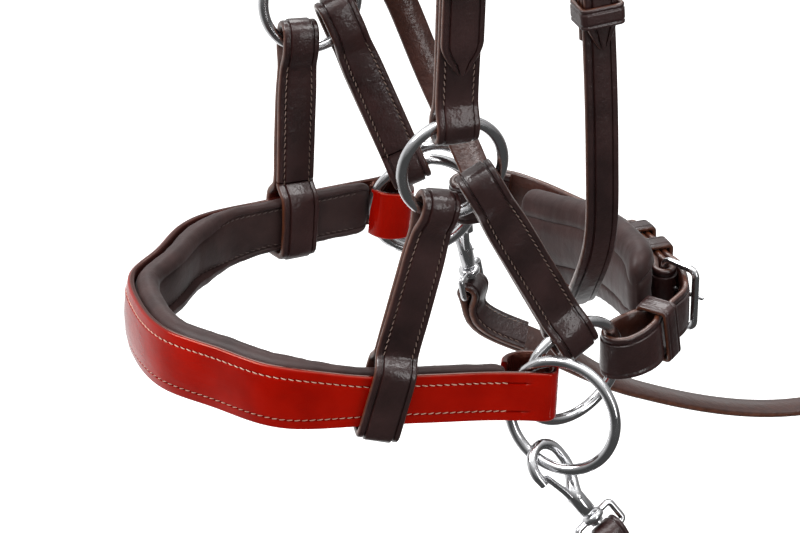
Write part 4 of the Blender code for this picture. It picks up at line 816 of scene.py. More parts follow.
def wire_object(name, points, radii, sides, first_side, closed=False, flat=1.0):
    """Drawn wire along a line of points. flat presses its section along first_side."""
    side = Vector(first_side)
    count = len(points)
    rounds = []
    for k, point in enumerate(points):
        before = points[k - 1] if k or closed else point
        after = points[(k + 1) % count] if k < count - 1 or closed else point
        way = (after - before).normalized()
        side = (side - way * side.dot(way)).normalized()
        other = way.cross(side)
        for j in range(sides):
            turn = 2 * math.pi * (j + 0.5) / sides
            rounds.append(point + side * (radii[k] * flat * math.cos(turn)) + other * (radii[k] * math.sin(turn)))
    return mesh_object(name, rounds, skin_faces(count, sides, closed), chrome)


def make_buckle(names, nodes, route, bar, way, strap_width, billet_thick):
    """A forged frame on its bar and its tongue. way points to the billet."""
    point, along, out, across = route.frame(bar)
    along = along * way
    stand = buckle_stack(billet_thick) + billet_thick / 2 + GAP + BUCKLE_WIRE / 2
    tilt = math.asin(stand / BUCKLE_LONG)
    reach = (along * math.cos(tilt) + out * math.sin(tilt)).normalized()
    lift = (out * math.cos(tilt) - along * math.sin(tilt)).normalized()
    half = strap_width / 2 + BUCKLE_EASE + BUCKLE_WIRE / 2
    line = []
    for at_end, hand, start in ((0, -1, 180), (1, -1, 270), (1, 1, 0), (0, 1, 90)):
        deep = BUCKLE_LONG - BUCKLE_CORNER if at_end else BUCKLE_CORNER
        line += turned(deep, hand * (half - BUCKLE_CORNER), BUCKLE_CORNER, BUCKLE_CORNER, start, start + 90, 8)
    points = [point + reach * f + across * a for f, a in line]
    radii = [BUCKLE_WIRE / 2 * (1.0 + BUCKLE_SWELL * step_between(f, BUCKLE_SWELL_START, BUCKLE_SWELL_FULL))
             for f, a in line]
    dress(wire_object(names[0], points, radii, 16, lift, closed=True, flat=0.92), nodes[0])
    rest = BUCKLE_WIRE / 2 + GAP + TONGUE_WIRE / 2
    line = turned(0.0, 0.0, rest, rest, -15, -270, 16)
    line += [(BUCKLE_LONG * share, rest) for share in (0.2, 0.5, 0.8)] + [(BUCKLE_LONG, rest + TONGUE_RISE)]
    line += [(BUCKLE_LONG + TONGUE_WIRE * share, rest) for share in (0.4, 0.75, 0.95)]
    radii = [TONGUE_WIRE / 2 * (1.0 if f < BUCKLE_LONG else 0.85) for f, g in line]
    radii[-2], radii[-1] = TONGUE_WIRE * 0.36, TONGUE_WIRE * 0.16
    spots = [point + reach * f + lift * g for f, g in line]
    dress(wire_object(names[1], spots, radii, 14, across), nodes[1])


def make_keeper(name, node, route, middle, low, high, width):
    """A creased leather loop round a stack of straps that lies between low and high."""
    point, along, out, across = route.frame(middle)
    half = width / 2 + GAP + KEEPER_THICK / 2
    bottom, top = low - GAP * 2 - KEEPER_THICK / 2, high + GAP * 2 + KEEPER_THICK / 2
    corner = KEEPER_THICK * 0.8
    line = []
    for hand, level, start in ((1, top - corner, 0), (-1, top - corner, 90), (-1, bottom + corner, 180),
                               (1, bottom + corner, 270)):
        for k in range(7):
            turn = math.radians(start + 15 * k)
            radial = across * math.cos(turn) + out * math.sin(turn)
            line.append((point + across * (hand * (half - corner)) + out * level + radial * corner, radial))
    frames = [(spot, along * (KEEPER_LONG / 2), radial * (KEEPER_THICK / 2)) for spot, radial in line]
    loop = leather_strip(name, frames, KEEPER_THICK, leather, KEEPER_CREASE, closed=True)
    return dress(loop, node)


cheek_routes = {}
lean = math.radians(CHEEK_LEAN)
for side, hand in hands.items():
    foot = uppers[side].at(90)[0]
    up = Vector((side * math.sin(lean), 0, math.cos(lean)))
    out = Vector((side * math.cos(lean), 0, -math.sin(lean)))
    top = foot + up * CHEEK_LONG
    route = Route([foot, foot.lerp(top, 0.5), top], [uppers[side].normal, out, out])
    cheek_routes[side] = route
    low = ring_eye(route, 0.0, -1, DOUBLED, uppers[side], 90)
    high = bar_eye(route.length, 1, DOUBLED)
    frames = strip_frames(route, doubled_line(low, high[::-1]), STRAP_WIDTH, STRAP_THICK)
    strap = leather_strip("cheek_strap_" + hand, frames, STRAP_THICK, leather, CHEEK_CREASE)
    dress(strap, "cheekpiece_" + hand)
    rows = ([], [])
    for out_side, faced in ((LAYER, (1, 1)), (-LAYER, (1, -1))):
        flat_rows(rows, route, low[-1][0] + STITCH_LEAD, high[0][0] - STITCH_LEAD, out_side, STRAP_WIDTH,
                  STRAP_THICK, faced)
    sew("cheek_strap_stitching_" + hand, rows, brown_thread, "cheekpiece_" + hand)
    make_buckle(("cheek_buckle_" + hand, "cheek_tongue_" + hand),
                ("cheek_buckle_frame_" + hand, "cheek_buckle_tongue_" + hand), route, route.length, 1,
                STRAP_WIDTH, BILLET_THICK)
    rest = FACE + GAP + BILLET_THICK
    make_keeper("cheek_sewn_keeper_" + hand, "cheek_keeper_" + hand, route, CHEEK_KEEPER_PLACE, -FACE, rest,
                STRAP_WIDTH)
    make_keeper("cheek_sliding_keeper_" + hand, "cheek_runner_" + hand, route, CHEEK_RUNNER_PLACE, -FACE, rest,
                STRAP_WIDTH)


# Throatlash: a single strap of bridle leather behind the jaw, turned back round a buckle at
# each end and sewn there, with a sewn keeper and a sliding runner for each billet.
THROAT_WIDTH = 0.0125
THROAT_SIDE = 0.0885
THROAT_BUCKLE_DROP = 0.338
THROAT_NEAR_BACK = 0.0375
THROAT_FAR_BACK = 0.0115
THROAT_BACK = 0.055
THROAT_DROP = 0.519
THROAT_TURN = 0.047
THROAT_KEEPER_PLACE = 0.018
THROAT_RUNNER_PLACE = 0.036
THROAT_CREASE = (0.0028, 0.0005, 0.0007)
NARROW_STITCH_INSET = 0.0022


def throat_route():
    """From the near buckle's bar down, round behind the jaw, and up to the far one. Each point is
    a share of the way across, of the way back, and of the way down."""
    side, back, drop = THROAT_SIDE, THROAT_BACK, THROAT_DROP
    top, near, far = THROAT_BUCKLE_DROP, THROAT_NEAR_BACK, THROAT_FAR_BACK
    down = drop - top
    line_shares = ((1.0, 0.0, 0.0), (1.005, 0.19, 0.19), (0.995, 0.38, 0.51), (0.94, 0.49, 0.70),
                   (0.745, 0.58, 0.85), (0.51, 0.82, 0.94), (0.0, 1.0, 1.0))
    points = [(side * x, near + (back - near) * y, -top - down * z) for x, y, z in line_shares]
    far_shares = ((0.51, 0.93, 0.94), (0.72, 0.84, 0.85), (0.90, 0.66, 0.72), (0.975, 0.43, 0.56),
                  (0.995, 0.15, 0.40), (1.005, 0.03, 0.19), (1.015, 0.0, 0.0))
    points += [(-side * x, far + (back - far) * y, -top - down * z) for x, y, z in far_shares]
    outs = []
    for x, y, z in points:
        under = step_between(-z, top + down * 0.72, drop)
        outs.append(Vector((x / side, 0, 0)) * (1 - under) + Vector((x / side, 0, -1)) * under)
    return Route(points, outs)


throat = throat_route()
near_turn = [(THROAT_TURN, -LAYER)] + run(THROAT_TURN, NECK, -LAYER, 2) + bar_eye(0.0, -1, DOUBLED)
far_turn = [(throat.length - along, out) for along, out in reversed(near_turn)]
lash_line = near_turn + run(near_turn[-1][0], far_turn[0][0], LAYER, 30) + far_turn
lash_frames = strip_frames(throat, lash_line, THROAT_WIDTH, STRAP_THICK)
lash = leather_strip("throat_strap", lash_frames, STRAP_THICK, leather, THROAT_CREASE)
dress(lash, "throatlash")
rest = FACE + GAP + BILLET_THICK
rows = ([], [])
for hand, bar, way in (("near", 0.0, -1), ("far", throat.length, 1)):
    names = ("throat_buckle_" + hand, "throat_tongue_" + hand)
    nodes = ("throat_buckle_frame_" + hand, "throat_buckle_tongue_" + hand)
    make_buckle(names, nodes, throat, bar, way, THROAT_WIDTH, BILLET_THICK)
    make_keeper("throat_sewn_keeper_" + hand, "throat_keeper_" + hand, throat, bar - way * THROAT_KEEPER_PLACE,
                -FACE, rest, THROAT_WIDTH)
    make_keeper("throat_sliding_keeper_" + hand, "throat_runner_" + hand, throat,
                bar - way * THROAT_RUNNER_PLACE, -FACE, rest, THROAT_WIDTH)
    start, end = sorted((bar - way * NECK, bar - way * (THROAT_TURN - STITCH_LEAD)))
    flat_rows(rows, throat, start, end, -LAYER, THROAT_WIDTH, STRAP_THICK, (1, -1), NARROW_STITCH_INSET)
sew("throat_turn_stitching", rows, brown_thread, "throatlash")


# Headpiece: one wide strap over the poll, slit above the browband into a cheek billet and a
# throat billet on each side, each cut to a gothic point and creased along its edges.
BRACKET_RADIUS = 0.079
POLL_FLAT = 0.026
POLL_PAD_THICK = 0.0060
CROWN_WIDTH = 0.036
CROWN_THICK = 0.003
CROWN_ARC = 72.0
CROWN_SPLIT_DROP = 0.118
CROWN_SIDE = 0.0905
TAIL_PART = 0.0020
POINT_LONG = 0.013
POINT_WIDTH = 0.0026
CHEEK_TIP_PLACE = 0.021
THROAT_TIP_PLACE = 0.049
CROWN_CREASE = (0.0028, 0.0003, 0.0002)
BILLET_CREASE = (0.0026, 0.0005, 0.0005)
ARC_DROP = math.sqrt(BRACKET_RADIUS ** 2 - (POLL_FLAT / 2) ** 2)
BILLET_LEAD = 0.020


def crown_arc(angle, radius):
    """A point over the bracket, and the direction out of it."""
    turn = math.radians(angle)
    out = Vector((math.sin(turn), 0, math.cos(turn)))
    return Vector((0, 0, -ARC_DROP)) + out * radius, out


def pointed(width, tip, way):
    """A strap's width near its pointed tip. way is 1 where the tip is at the route's end."""
    def width_at(along):
        left = max((tip - along) * way, 0.0)
        if left >= POINT_LONG:
            return width
        return POINT_WIDTH + (width - POINT_WIDTH) * math.sin(left / POINT_LONG * math.pi / 2)
    return width_at


def billet_line(bar, way, tip, thick, count=3):
    """A billet from beyond its buckle to its tip. way points from the bar to where it comes from."""
    over = buckle_stack(thick)
    rest = FACE + GAP + thick / 2
    rested = bar - way * NECK * 1.3
    line = [(bar + way * (BUCKLE_LONG + BILLET_LEAD), over), (bar + way * BUCKLE_LONG, over)]
    line += run(bar + way * BUCKLE_LONG, bar, over, 2)
    line += [(bar, over), (bar - way * NECK * 0.3, over), (rested, rest)]
    line += run(rested, tip + way * POINT_LONG, rest, count)
    return line + [(tip + way * POINT_LONG * share, rest) for share in (1.0, 0.75, 0.5, 0.28, 0.1, 0.0)]


def between_frames(one, two, count):
    """Frames that pass smoothly from one to another, both ends left out."""
    found = []
    for k in range(1, count):
        share = k / count
        share = share * 0.6 + step_between(share, 0.0, 1.0) * 0.4
        found.append(tuple(a.lerp(b, share) for a, b in zip(one, two)))
    return found


half_crown, half_part = CROWN_WIDTH / 2, TAIL_PART / 2
crown_radius = BRACKET_RADIUS + POLL_PAD_THICK + GAP * 2 + CROWN_THICK / 2
# Over the pad from the near side to the far one, then on down each side to where it is slit.
crown_spots = [crown_arc(CROWN_ARC * (1 - k / 28), crown_radius) for k in range(57)]
for side in (1, -1):
    low = Vector((side * CROWN_SIDE, 0, -CROWN_SPLIT_DROP))
    out = Vector((side, 0, 0))
    point, tilt = crown_spots[0] if side > 0 else crown_spots[-1]
    middle = (point.lerp(low, 0.5) + out * GAP, tilt.lerp(out, 0.6).normalized())
    steps = []
    for one, two in (((point, tilt), middle), (middle, (low, out))):
        steps += [(one[0].lerp(two[0], k / 12), one[1].lerp(two[1], k / 12).normalized()) for k in range(1, 13)]
    crown_spots = steps[::-1] + crown_spots if side > 0 else crown_spots + steps
crown_frames = [(point, Vector((0, -half_crown, 0)), out * (CROWN_THICK / 2)) for point, out in crown_spots]
crown = leather_strip("headpiece_strap", crown_frames, CROWN_THICK, leather, CROWN_CREASE)
for side, hand in hands.items():
    end = crown_frames[0] if side > 0 else crown_frames[-1]
    bar, way = (0.0, -1) if side > 0 else (throat.length, 1)
    tip = bar - way * THROAT_TIP_PLACE
    line = billet_line(CHEEK_LONG, 1, CHEEK_TIP_PLACE, BILLET_THICK)
    cheek_frames = strip_frames(cheek_routes[side], line, pointed(STRAP_WIDTH, CHEEK_TIP_PLACE, -1),
                                BILLET_THICK, hands=(side, -1))
    line = billet_line(bar, way, tip, BILLET_THICK)
    lash_frames = strip_frames(throat, line, pointed(THROAT_WIDTH, tip, -way), BILLET_THICK, hands=(-1, -way))
    for kind, hand_across, tail in (("cheek", -1, cheek_frames), ("throat", 1, lash_frames)):
        middle = end[0] + Vector((0, hand_across * (half_crown + half_part) / 2, 0))
        half = math.copysign((half_crown - half_part) / 2, tail[0][1].y)
        first = (middle, Vector((0, half, 0)), end[2] * (BILLET_THICK / CROWN_THICK))
        if first[2].dot(tail[0][2]) < 0:
            tail = [(m, h, -f) for m, h, f in tail]
        frames = [first] + between_frames(first, tail[0], 60) + tail
        billet = leather_strip(f"{kind}_billet_{hand}", frames, BILLET_THICK, leather, BILLET_CREASE)
        billet.parent = crown
dress(crown, "crown")


# Poll pad: a soft leather cushion under the headpiece, stuffed with felt, flat below where the
# bracket carries it and bound round its edge.
POLL_PAD_WIDTH = 0.044
POLL_PAD_ARC = 58.0
POLL_PAD_TAPER = 5.0
POLL_RUCK = 0.0002
POLL_RUCK_TURN = 4.0


def poll_section(fine=7):
    """Round the pad: flat on the bracket, full edges, slightly crowned under the strap."""
    half = []
    for k in range(fine * 2 + 1):
        turn = math.radians(90 - 180 * k / (fine * 2))
        half.append((0.90 + 0.10 * math.cos(turn), 0.5 - 0.5 * math.sin(turn)))
    other = [(-across, depth) for across, depth in reversed(half)]
    return [(0.0, 0.0), (0.5, 0.0)] + half + [(0.5, 1.0), (0.0, 1.0), (-0.5, 1.0)] + other + [(-0.5, 0.0)]


flat_turn = math.degrees(math.asin(POLL_FLAT / 2 / BRACKET_RADIUS))
pad_angles = [POLL_PAD_ARC - k * POLL_PAD_ARC / 40 for k in range(81)]
points = []
section = poll_section()
for angle in pad_angles:
    left = max(0.0, 1 - (POLL_PAD_ARC - abs(angle)) / POLL_PAD_TAPER)
    swell = 0.45 + 0.55 * math.sqrt(1 - left * left)
    low, out = crown_arc(angle, BRACKET_RADIUS)
    if abs(angle) < flat_turn:
        low = Vector((low.x, 0, 0.0))
    high = crown_arc(angle, BRACKET_RADIUS + POLL_PAD_THICK)[0]
    for across, depth in section:
        spot = high.lerp(low, 1 - (1 - depth) * swell)
        full = POLL_PAD_WIDTH / 2 * (0.9 + 0.1 * swell)
        ruck = noise.noise(Vector((angle / POLL_RUCK_TURN, across * 1.5, depth))) if depth < 0.9 else 0.0
        points.append(spot + Vector((0, across * full, 0)) + out * (ruck * POLL_RUCK))
poll_pad = mesh_object("poll_cushion", points, skin_faces(len(pad_angles), len(section), False), soft_leather)
dress(poll_pad, "poll_pad")


# Browband: the same lacquered strip and rolled lining as the noseband, with a loop at each
# end that the headpiece passes through.
BROW_DROP = 0.150
BROW_HEIGHT = 0.018
BROW_REACH = 0.108
BROW_SIDE = 0.0965
BROW_BACK = 0.026
BROW_LOOP_LONG = 0.056
BROW_LOOP_WIDE = 0.0090
BROW_LINING_THICK = 0.0060
BROW_ROLL_OVER = 0.0010
BROW_STITCH_INSET = 0.0034
BROW_STITCH_LEAD = 0.004
BROW_CREASE = (BROW_STITCH_INSET, 0.0003, 0.0003)
straight = BROW_LOOP_LONG / (BROW_REACH + BROW_BACK)
brow_shares = ((1.0, 0.0), (1.0, straight), (0.985, straight + 0.10), (0.90, 0.62), (0.70, 0.80),
               (0.38, 0.95), (0.0, 1.0))
brow_plan = [Vector((BROW_SIDE * x, BROW_BACK - (BROW_REACH + BROW_BACK) * y, 0)) for x, y in brow_shares]
brow = round_route(brow_plan, [Vector((-p.x, p.y, p.z)) for p in brow_plan[-2::-1]],
                   Matrix.Translation(Vector((0, 0, -BROW_DROP))))
closed_out = PATENT_THICK + GAP
loop = [(BROW_LOOP_LONG, -closed_out), (BROW_LOOP_LONG - NECK / 2, -closed_out),
        (BROW_LOOP_LONG - NECK, -(closed_out + BROW_LOOP_WIDE) / 2), (BROW_LOOP_LONG - NECK * 1.5, -BROW_LOOP_WIDE)]
loop += run(BROW_LOOP_LONG - NECK * 1.5, BROW_LOOP_WIDE / 2, -BROW_LOOP_WIDE, 2)
loop += turned(BROW_LOOP_WIDE / 2, -BROW_LOOP_WIDE / 2, BROW_LOOP_WIDE / 2, BROW_LOOP_WIDE / 2, 270, 90, 8)
far_loop = [(brow.length - along, out) for along, out in reversed(loop)]
brow_line = loop + run(loop[-1][0], far_loop[0][0], 0.0, 34) + far_loop
brow_frames = strip_frames(brow, brow_line, BROW_HEIGHT, PATENT_THICK)
brow_strap = leather_strip("patent_brow_strap", brow_frames, PATENT_THICK, red_patent, BROW_CREASE, back=1.0)
dress(brow_strap, "browband_patent_strap")
brow_start = BROW_LOOP_LONG + GAP
brow_out = -(PATENT_THICK / 2 + GAP)
brow_lining = padded_strip("brow_strap_lining", brow, brow_start, brow.length - brow_start, brow_out,
                           BROW_HEIGHT + LINING_PROUD + BROW_ROLL_OVER, BROW_LINING_THICK,
                           rolled_section(0.34, 0.3, 0.82), soft_leather)
dress(brow_lining, "browband_lining")
rows = ([], [])
row_start = BROW_LOOP_LONG - BROW_STITCH_LEAD
flat_rows(rows, brow, row_start, brow.length - row_start, 0.0, BROW_HEIGHT, PATENT_THICK,
          inset=BROW_STITCH_INSET, pitch=PATENT_PITCH)
sew("brow_strap_stitching", rows, cream_thread, "browband_patent_strap")


# Chin strap: bridle leather from the far chin ring with a buckle, a billet from the near ring,
# and a soft pad between them and the jaw, gathered at both ends.
CHIN_WIDTH = 0.019
CHIN_BACK = 0.0925
CHIN_DROP = 0.5150
CHIN_TILT = 0.0100
CHIN_BAR_SIDE = 0.036
CHIN_TURN = 0.040
CHIN_BILLET_TURN = 0.024
CHIN_NEAR_ANGLE = 8.0
CHIN_FAR_ANGLE = 4.0
CHIN_KEEPER_PLACE = 0.015
CHIN_RUNNER_PLACE = 0.031
CHIN_TIP_PLACE = 0.052
CHIN_FOLD_MIDDLE = (0.0065, 0.0003)
CHIN_FOLD_REACH = (0.0124, 0.0066)
CHIN_FOLD_KEEPER_PLACE = 0.0192
CHIN_FOLD_KEEPER_STAND = 0.0030
CHIN_CREASE = (0.0028, 0.0004, 0.0004)
CHIN_BILLET_CREASE = (0.0026, 0.0004, 0.0004)
CHIN_PAD_START = 0.026
CHIN_PAD_END = 0.034
CHIN_PAD_HEIGHT = 0.0370
CHIN_PAD_THICK = 0.0100
CHIN_PAD_GATHER = (0.15, 0.6)
CHIN_PAD_GATHER_LONG = (0.018, 0.006)
CHIN_PAD_RUCK = 0.00020
CHIN_PAD_RUCK_LONG = 0.0040
CHIN_PAD_STEP = 0.0011


def chin_route(near_ring, far_ring):
    """The chin strap's line from the near chin ring round to the far one. Each point is a share
    of the way across and back, and of how much lower it hangs."""
    bar = CHIN_BAR_SIDE
    back_shares = ((1.80, 0.770, 0.0107), (1.61, 0.887, 0.0060), (1.33, 0.967, 0.0025), (1.0, 0.995, 0.0005),
                   (0.42, 1.0, -0.0005), (-0.28, 0.985, 0.002), (-0.97, 0.92, 0.007), (-1.70, 0.82, 0.010),
                   (-1.98, 0.71, 0.008))
    points = [near_ring.at(CHIN_NEAR_ANGLE)[0]]
    for across_share, back_share, drop_share in back_shares:
        points.append((bar * across_share, CHIN_BACK * back_share, -CHIN_DROP * (1 + drop_share)))
    points.append(far_ring.at(CHIN_FAR_ANGLE)[0])
    outs = [near_ring.normal, (0.96, 0.3, 0), (0.8, 0.7, 0), (0.5, 0.9, 0), (0.2, 1, 0), (0, 1, 0), (-0.15, 1, 0),
            (-0.45, 0.9, 0), (-0.75, 0.7, 0), (-0.96, 0.3, 0), far_ring.normal]
    return Route(points, outs)


def chin_pad_section(fine=6):
    """Round the pad: a strap bed with a seam each side of it, full edges, crowned to the jaw."""
    half = [(0.25, 0.02), (0.44, 0.04), (0.49, 0.20), (0.51, 0.20), (0.56, 0.02), (0.64, -0.04), (0.70, -0.01)]
    for k in range(fine * 2 + 1):
        turn = math.radians(78 - 156 * k / (fine * 2))
        half.append((0.72 + 0.28 * math.cos(turn), 0.5 - 0.5 * math.sin(turn)))
    half += [(0.64, 1.04), (0.52, 1.08), (0.48, 1.01), (0.44, 1.09), (0.2, 1.14)]
    return [(0.0, 0.06)] + half + [(0.0, 1.15)] + [(-across, depth) for across, depth in reversed(half)]


chin = chin_route(junctions[1], junctions[-1])
bar = nearest_along(chin, CHIN_BAR_SIDE, 0, 0.0, chin.length / 2)
far_fold = ring_eye(chin, chin.length, 1, DOUBLED, junctions[-1], CHIN_FAR_ANGLE, CHIN_WIDTH)
near_fold = bar_eye(bar, -1, DOUBLED)
line = [(bar + CHIN_TURN, -LAYER)] + run(bar + CHIN_TURN, near_fold[0][0], -LAYER, 3) + near_fold
line += run(near_fold[-1][0], far_fold[-1][0], LAYER, 14) + far_fold[::-1] + [(far_fold[0][0] - NECK, -LAYER)]
frames = strip_frames(chin, line, CHIN_WIDTH, STRAP_THICK)
dress(leather_strip("chin_buckle_strap", frames, STRAP_THICK, leather, CHIN_CREASE), "chin_strap")
make_buckle(("chin_buckle", "chin_tongue"), ("chin_buckle_frame", "chin_buckle_tongue"), chin, bar, -1, CHIN_WIDTH,
            BILLET_THICK)
make_keeper("chin_sewn_keeper", "chin_keeper", chin, bar + CHIN_KEEPER_PLACE, -FACE, rest, CHIN_WIDTH)
make_keeper("chin_sliding_keeper", "chin_runner", chin, bar + CHIN_RUNNER_PLACE, -FACE, rest, CHIN_WIDTH)
tube = turned(*CHIN_FOLD_MIDDLE, *CHIN_FOLD_REACH, -30, -325, 18)
tip = bar + CHIN_TIP_PLACE
ahead = billet_line(bar, -1, tip, BILLET_THICK)[1:]
line = [(CHIN_BILLET_TURN, -LAYER)] + tube + run(tube[-1][0], ahead[0][0], (LAYER + ahead[0][1]) / 2, 1) + ahead
frames = strip_frames(chin, line, pointed(CHIN_WIDTH, tip, 1), BILLET_THICK)
chin_billet = leather_strip("chin_billet_strap", frames, BILLET_THICK, leather, CHIN_BILLET_CREASE)
dress(chin_billet, "chin_billet")
make_keeper("chin_fold_sewn_keeper", "chin_fold_keeper", chin, CHIN_FOLD_KEEPER_PLACE, -FACE,
            FACE + CHIN_FOLD_KEEPER_STAND, CHIN_WIDTH)
pad_top = -FACE - GAP * 4 - KEEPER_THICK
chin_pad = padded_strip("chin_cushion", chin, CHIN_PAD_START, chin.length - CHIN_PAD_END, pad_top,
                        CHIN_PAD_HEIGHT, CHIN_PAD_THICK, chin_pad_section(), soft_leather,
                        rise=lambda along: CHIN_TILT * (2 * along / chin.length - 1),
                        ends=CHIN_PAD_GATHER, end_runs=CHIN_PAD_GATHER_LONG, wrinkle=CHIN_PAD_RUCK,
                        wrinkle_long=CHIN_PAD_RUCK_LONG, step=CHIN_PAD_STEP)
dress(chin_pad, "chin_pad")


# Snap hooks: die-cast bows with a sprung gate, turning in a wire eye that the rein is sewn
# round, all polished and chromium plated.
REIN_WIDTH = 0.0127
SNAP_BOW = 0.0058
SNAP_BOW_WIRE = 0.0040
SNAP_NOSE = 0.0036
SNAP_SHANK_WIRE = 0.0062
SNAP_SHANK_START = 0.0140
SNAP_SHANK_END = 0.0245
SNAP_NECK_WIRE = 0.0034
SNAP_HEAD = 0.0052
SNAP_HEAD_LONG = 0.0016
SNAP_COLLAR = 0.0084
SNAP_COLLAR_LONG = 0.0030
SNAP_EYE_WIRE = 0.0026
SNAP_EYE_DEEP = 0.0090
SNAP_EYE_CORNER = 0.0016
SNAP_EYE_EASE = 0.0009
GATE_PIN = 0.0014
GATE_PIN_ALONG = 0.0165
GATE_PIN_ASIDE = 0.0009
GATE_KNUCKLE = 0.0034
GATE_WIDTH = 0.0030
GATE_END_ALONG = 0.0026
GATE_END_ASIDE = 0.0049
RIVET_SHARE = 0.62
BEVEL = 0.0002
COLLAR_BEVEL = 0.0004
SNAP_SHOULDER = 0.0012
SNAP_STEP = 0.0008
GATE_STEP = 0.0006
SNAP_TOP_BAR = SNAP_SHANK_END + GAP + SNAP_COLLAR_LONG / 2


class Snap:
    """A snap's directions: its origin is the bow's centre, its axis runs from bow to eye."""

    def __init__(self, origin, axis, facing):
        self.origin = origin
        self.axis = Vector(axis).normalized()
        facing = Vector(facing)
        self.normal = (facing - self.axis * facing.dot(self.axis)).normalized()
        self.aside = self.normal.cross(self.axis)

    def spot(self, along, aside):
        """A point so far along the snap and so far beside its axis."""
        return self.origin + self.axis * along + self.aside * aside


def lathe(name, origin, axis, shape, sides=24):
    """A turned piece: shape is (along, radius) from one end of its outline to the other."""
    side = axis.orthogonal().normalized()
    other = axis.cross(side)
    points = []
    for along, radius in shape:
        for j in range(sides):
            turn = 2 * math.pi * j / sides
            points.append(origin + axis * along + (side * math.cos(turn) + other * math.sin(turn)) * radius)
    return mesh_object(name, points, skin_faces(len(shape), sides, False), chrome)


def make_hook(hand, snap):
    """The bow with its shank, and the neck and head that turn in the eye's collar. The gate's
    rivet goes through the shank."""
    bow = SNAP_BOW + SNAP_BOW_WIRE / 2
    wire, shank, neck = SNAP_BOW_WIRE / 2, SNAP_SHANK_WIRE / 2, SNAP_NECK_WIRE / 2
    head = SNAP_TOP_BAR + SNAP_COLLAR_LONG / 2 + GAP
    tip = [(SNAP_NOSE + BEVEL, -bow, wire * 0.45), (SNAP_NOSE, -bow, wire * 0.85)]
    arc = [(along, aside, wire) for along, aside in turned(0.0, 0.0, bow, bow, 270, 90, 24)]
    leg_shares = ((0.38, 0.93, 1.0), (0.72, 0.58, 1.15), (0.95, 0.20, 1.4), (1.1, 0.0, 1.55))
    leg = arc[-1:] + [(SNAP_SHANK_START * a, bow * b, wire * c) for a, b, c in leg_shares]
    top = [(SNAP_SHANK_END - SNAP_SHOULDER, 0.0, shank), (SNAP_SHANK_END - GAP, 0.0, shank * 0.85),
           (SNAP_SHANK_END, 0.0, neck), (head, 0.0, neck), (head + GAP, 0.0, SNAP_HEAD / 2),
           (head + SNAP_HEAD_LONG * 0.7, 0.0, SNAP_HEAD / 2), (head + SNAP_HEAD_LONG, 0.0, SNAP_HEAD / 4)]
    line = [Vector(spot) for spot in tip + arc[:-1]] + eased(leg, SNAP_STEP) + [Vector(spot) for spot in top]
    hook = wire_object("snap_bow_" + hand, [snap.spot(v.x, v.y) for v in line], [v.z for v in line], 20,
                       snap.normal)
    half = GATE_WIDTH / 2 + GAP * 6
    pin = snap.spot(GATE_PIN_ALONG, -GATE_PIN_ASIDE)
    rivet = lathe("snap_rivet_" + hand, pin - snap.normal * half, snap.normal,
                  ((0.0, GATE_PIN * 0.3), (BEVEL, GATE_PIN * RIVET_SHARE),
                   (half * 2 - BEVEL, GATE_PIN * RIVET_SHARE), (half * 2, GATE_PIN * 0.3)), 16)
    rivet.parent = hook
    dress(hook, "snap_hook_" + hand)


def make_gate(hand, snap):
    """The sprung lever that closes the bow, from its knuckle on the rivet to the bow's nose."""
    pin = snap.spot(GATE_PIN_ALONG, -GATE_PIN_ASIDE)
    end = snap.spot(GATE_END_ALONG, -GATE_END_ASIDE)
    way = (end - pin).normalized()
    long = (end - pin).length
    lever = [(-GATE_KNUCKLE * 0.5, 0.35), (-GATE_KNUCKLE * 0.42, 0.8), (0.0, 1.13), (GATE_KNUCKLE * 0.5, 0.95),
             (long * 0.4, 0.55), (long * 0.7, 0.42), (long * 0.97, 0.40), (long, 0.25)]
    lever = eased([(along, share, 0) for along, share in lever], GATE_STEP)
    points = []
    for spot in lever:
        middle = pin + way * spot.x
        half = snap.normal * (GATE_WIDTH / 2)
        face = way.cross(snap.normal) * (GATE_KNUCKLE / 2 * spot.y)
        for j in range(20):
            turn = 2 * math.pi * (j + 0.5) / 20
            across, up = math.cos(turn), math.sin(turn)
            points.append(middle + half * math.copysign(abs(across) ** 0.45, across)
                          + face * math.copysign(abs(up) ** 0.45, up))
    gate = mesh_object("snap_lever_" + hand, points, skin_faces(len(lever), 20, False), chrome)
    dress(gate, "snap_gate_" + hand)


def make_snap_eye(hand, snap):
    """The wire loop that the rein is sewn round, with the turned collar on the hook's neck."""
    half = REIN_WIDTH / 2 + SNAP_EYE_EASE + SNAP_EYE_WIRE / 2
    corner = SNAP_EYE_CORNER
    line = []
    for deep, sign, start in ((corner, -1, 180), (SNAP_EYE_DEEP - corner, -1, 270),
                              (SNAP_EYE_DEEP - corner, 1, 0), (corner, 1, 90)):
        line += turned(deep, sign * (half - corner), corner, corner, start, start + 90, 8)
    points = [snap.spot(SNAP_TOP_BAR + a, b) for a, b in line]
    loop = wire_object("snap_loop_" + hand, points, [SNAP_EYE_WIRE / 2] * len(points), 16, snap.normal,
                       closed=True)
    reach, bore = SNAP_COLLAR_LONG / 2, SNAP_NECK_WIRE / 2 + GAP
    collar = lathe("snap_collar_" + hand, snap.spot(SNAP_TOP_BAR - reach, 0.0), snap.axis,
                   ((0.0, bore), (0.0, SNAP_COLLAR * 0.42), (COLLAR_BEVEL, SNAP_COLLAR * 0.5),
                    (reach, SNAP_COLLAR * 0.53), (reach * 2 - COLLAR_BEVEL, SNAP_COLLAR * 0.5),
                    (reach * 2, SNAP_COLLAR * 0.42), (reach * 2, bore)))
    collar.parent = loop
    dress(loop, "snap_eye_" + hand)


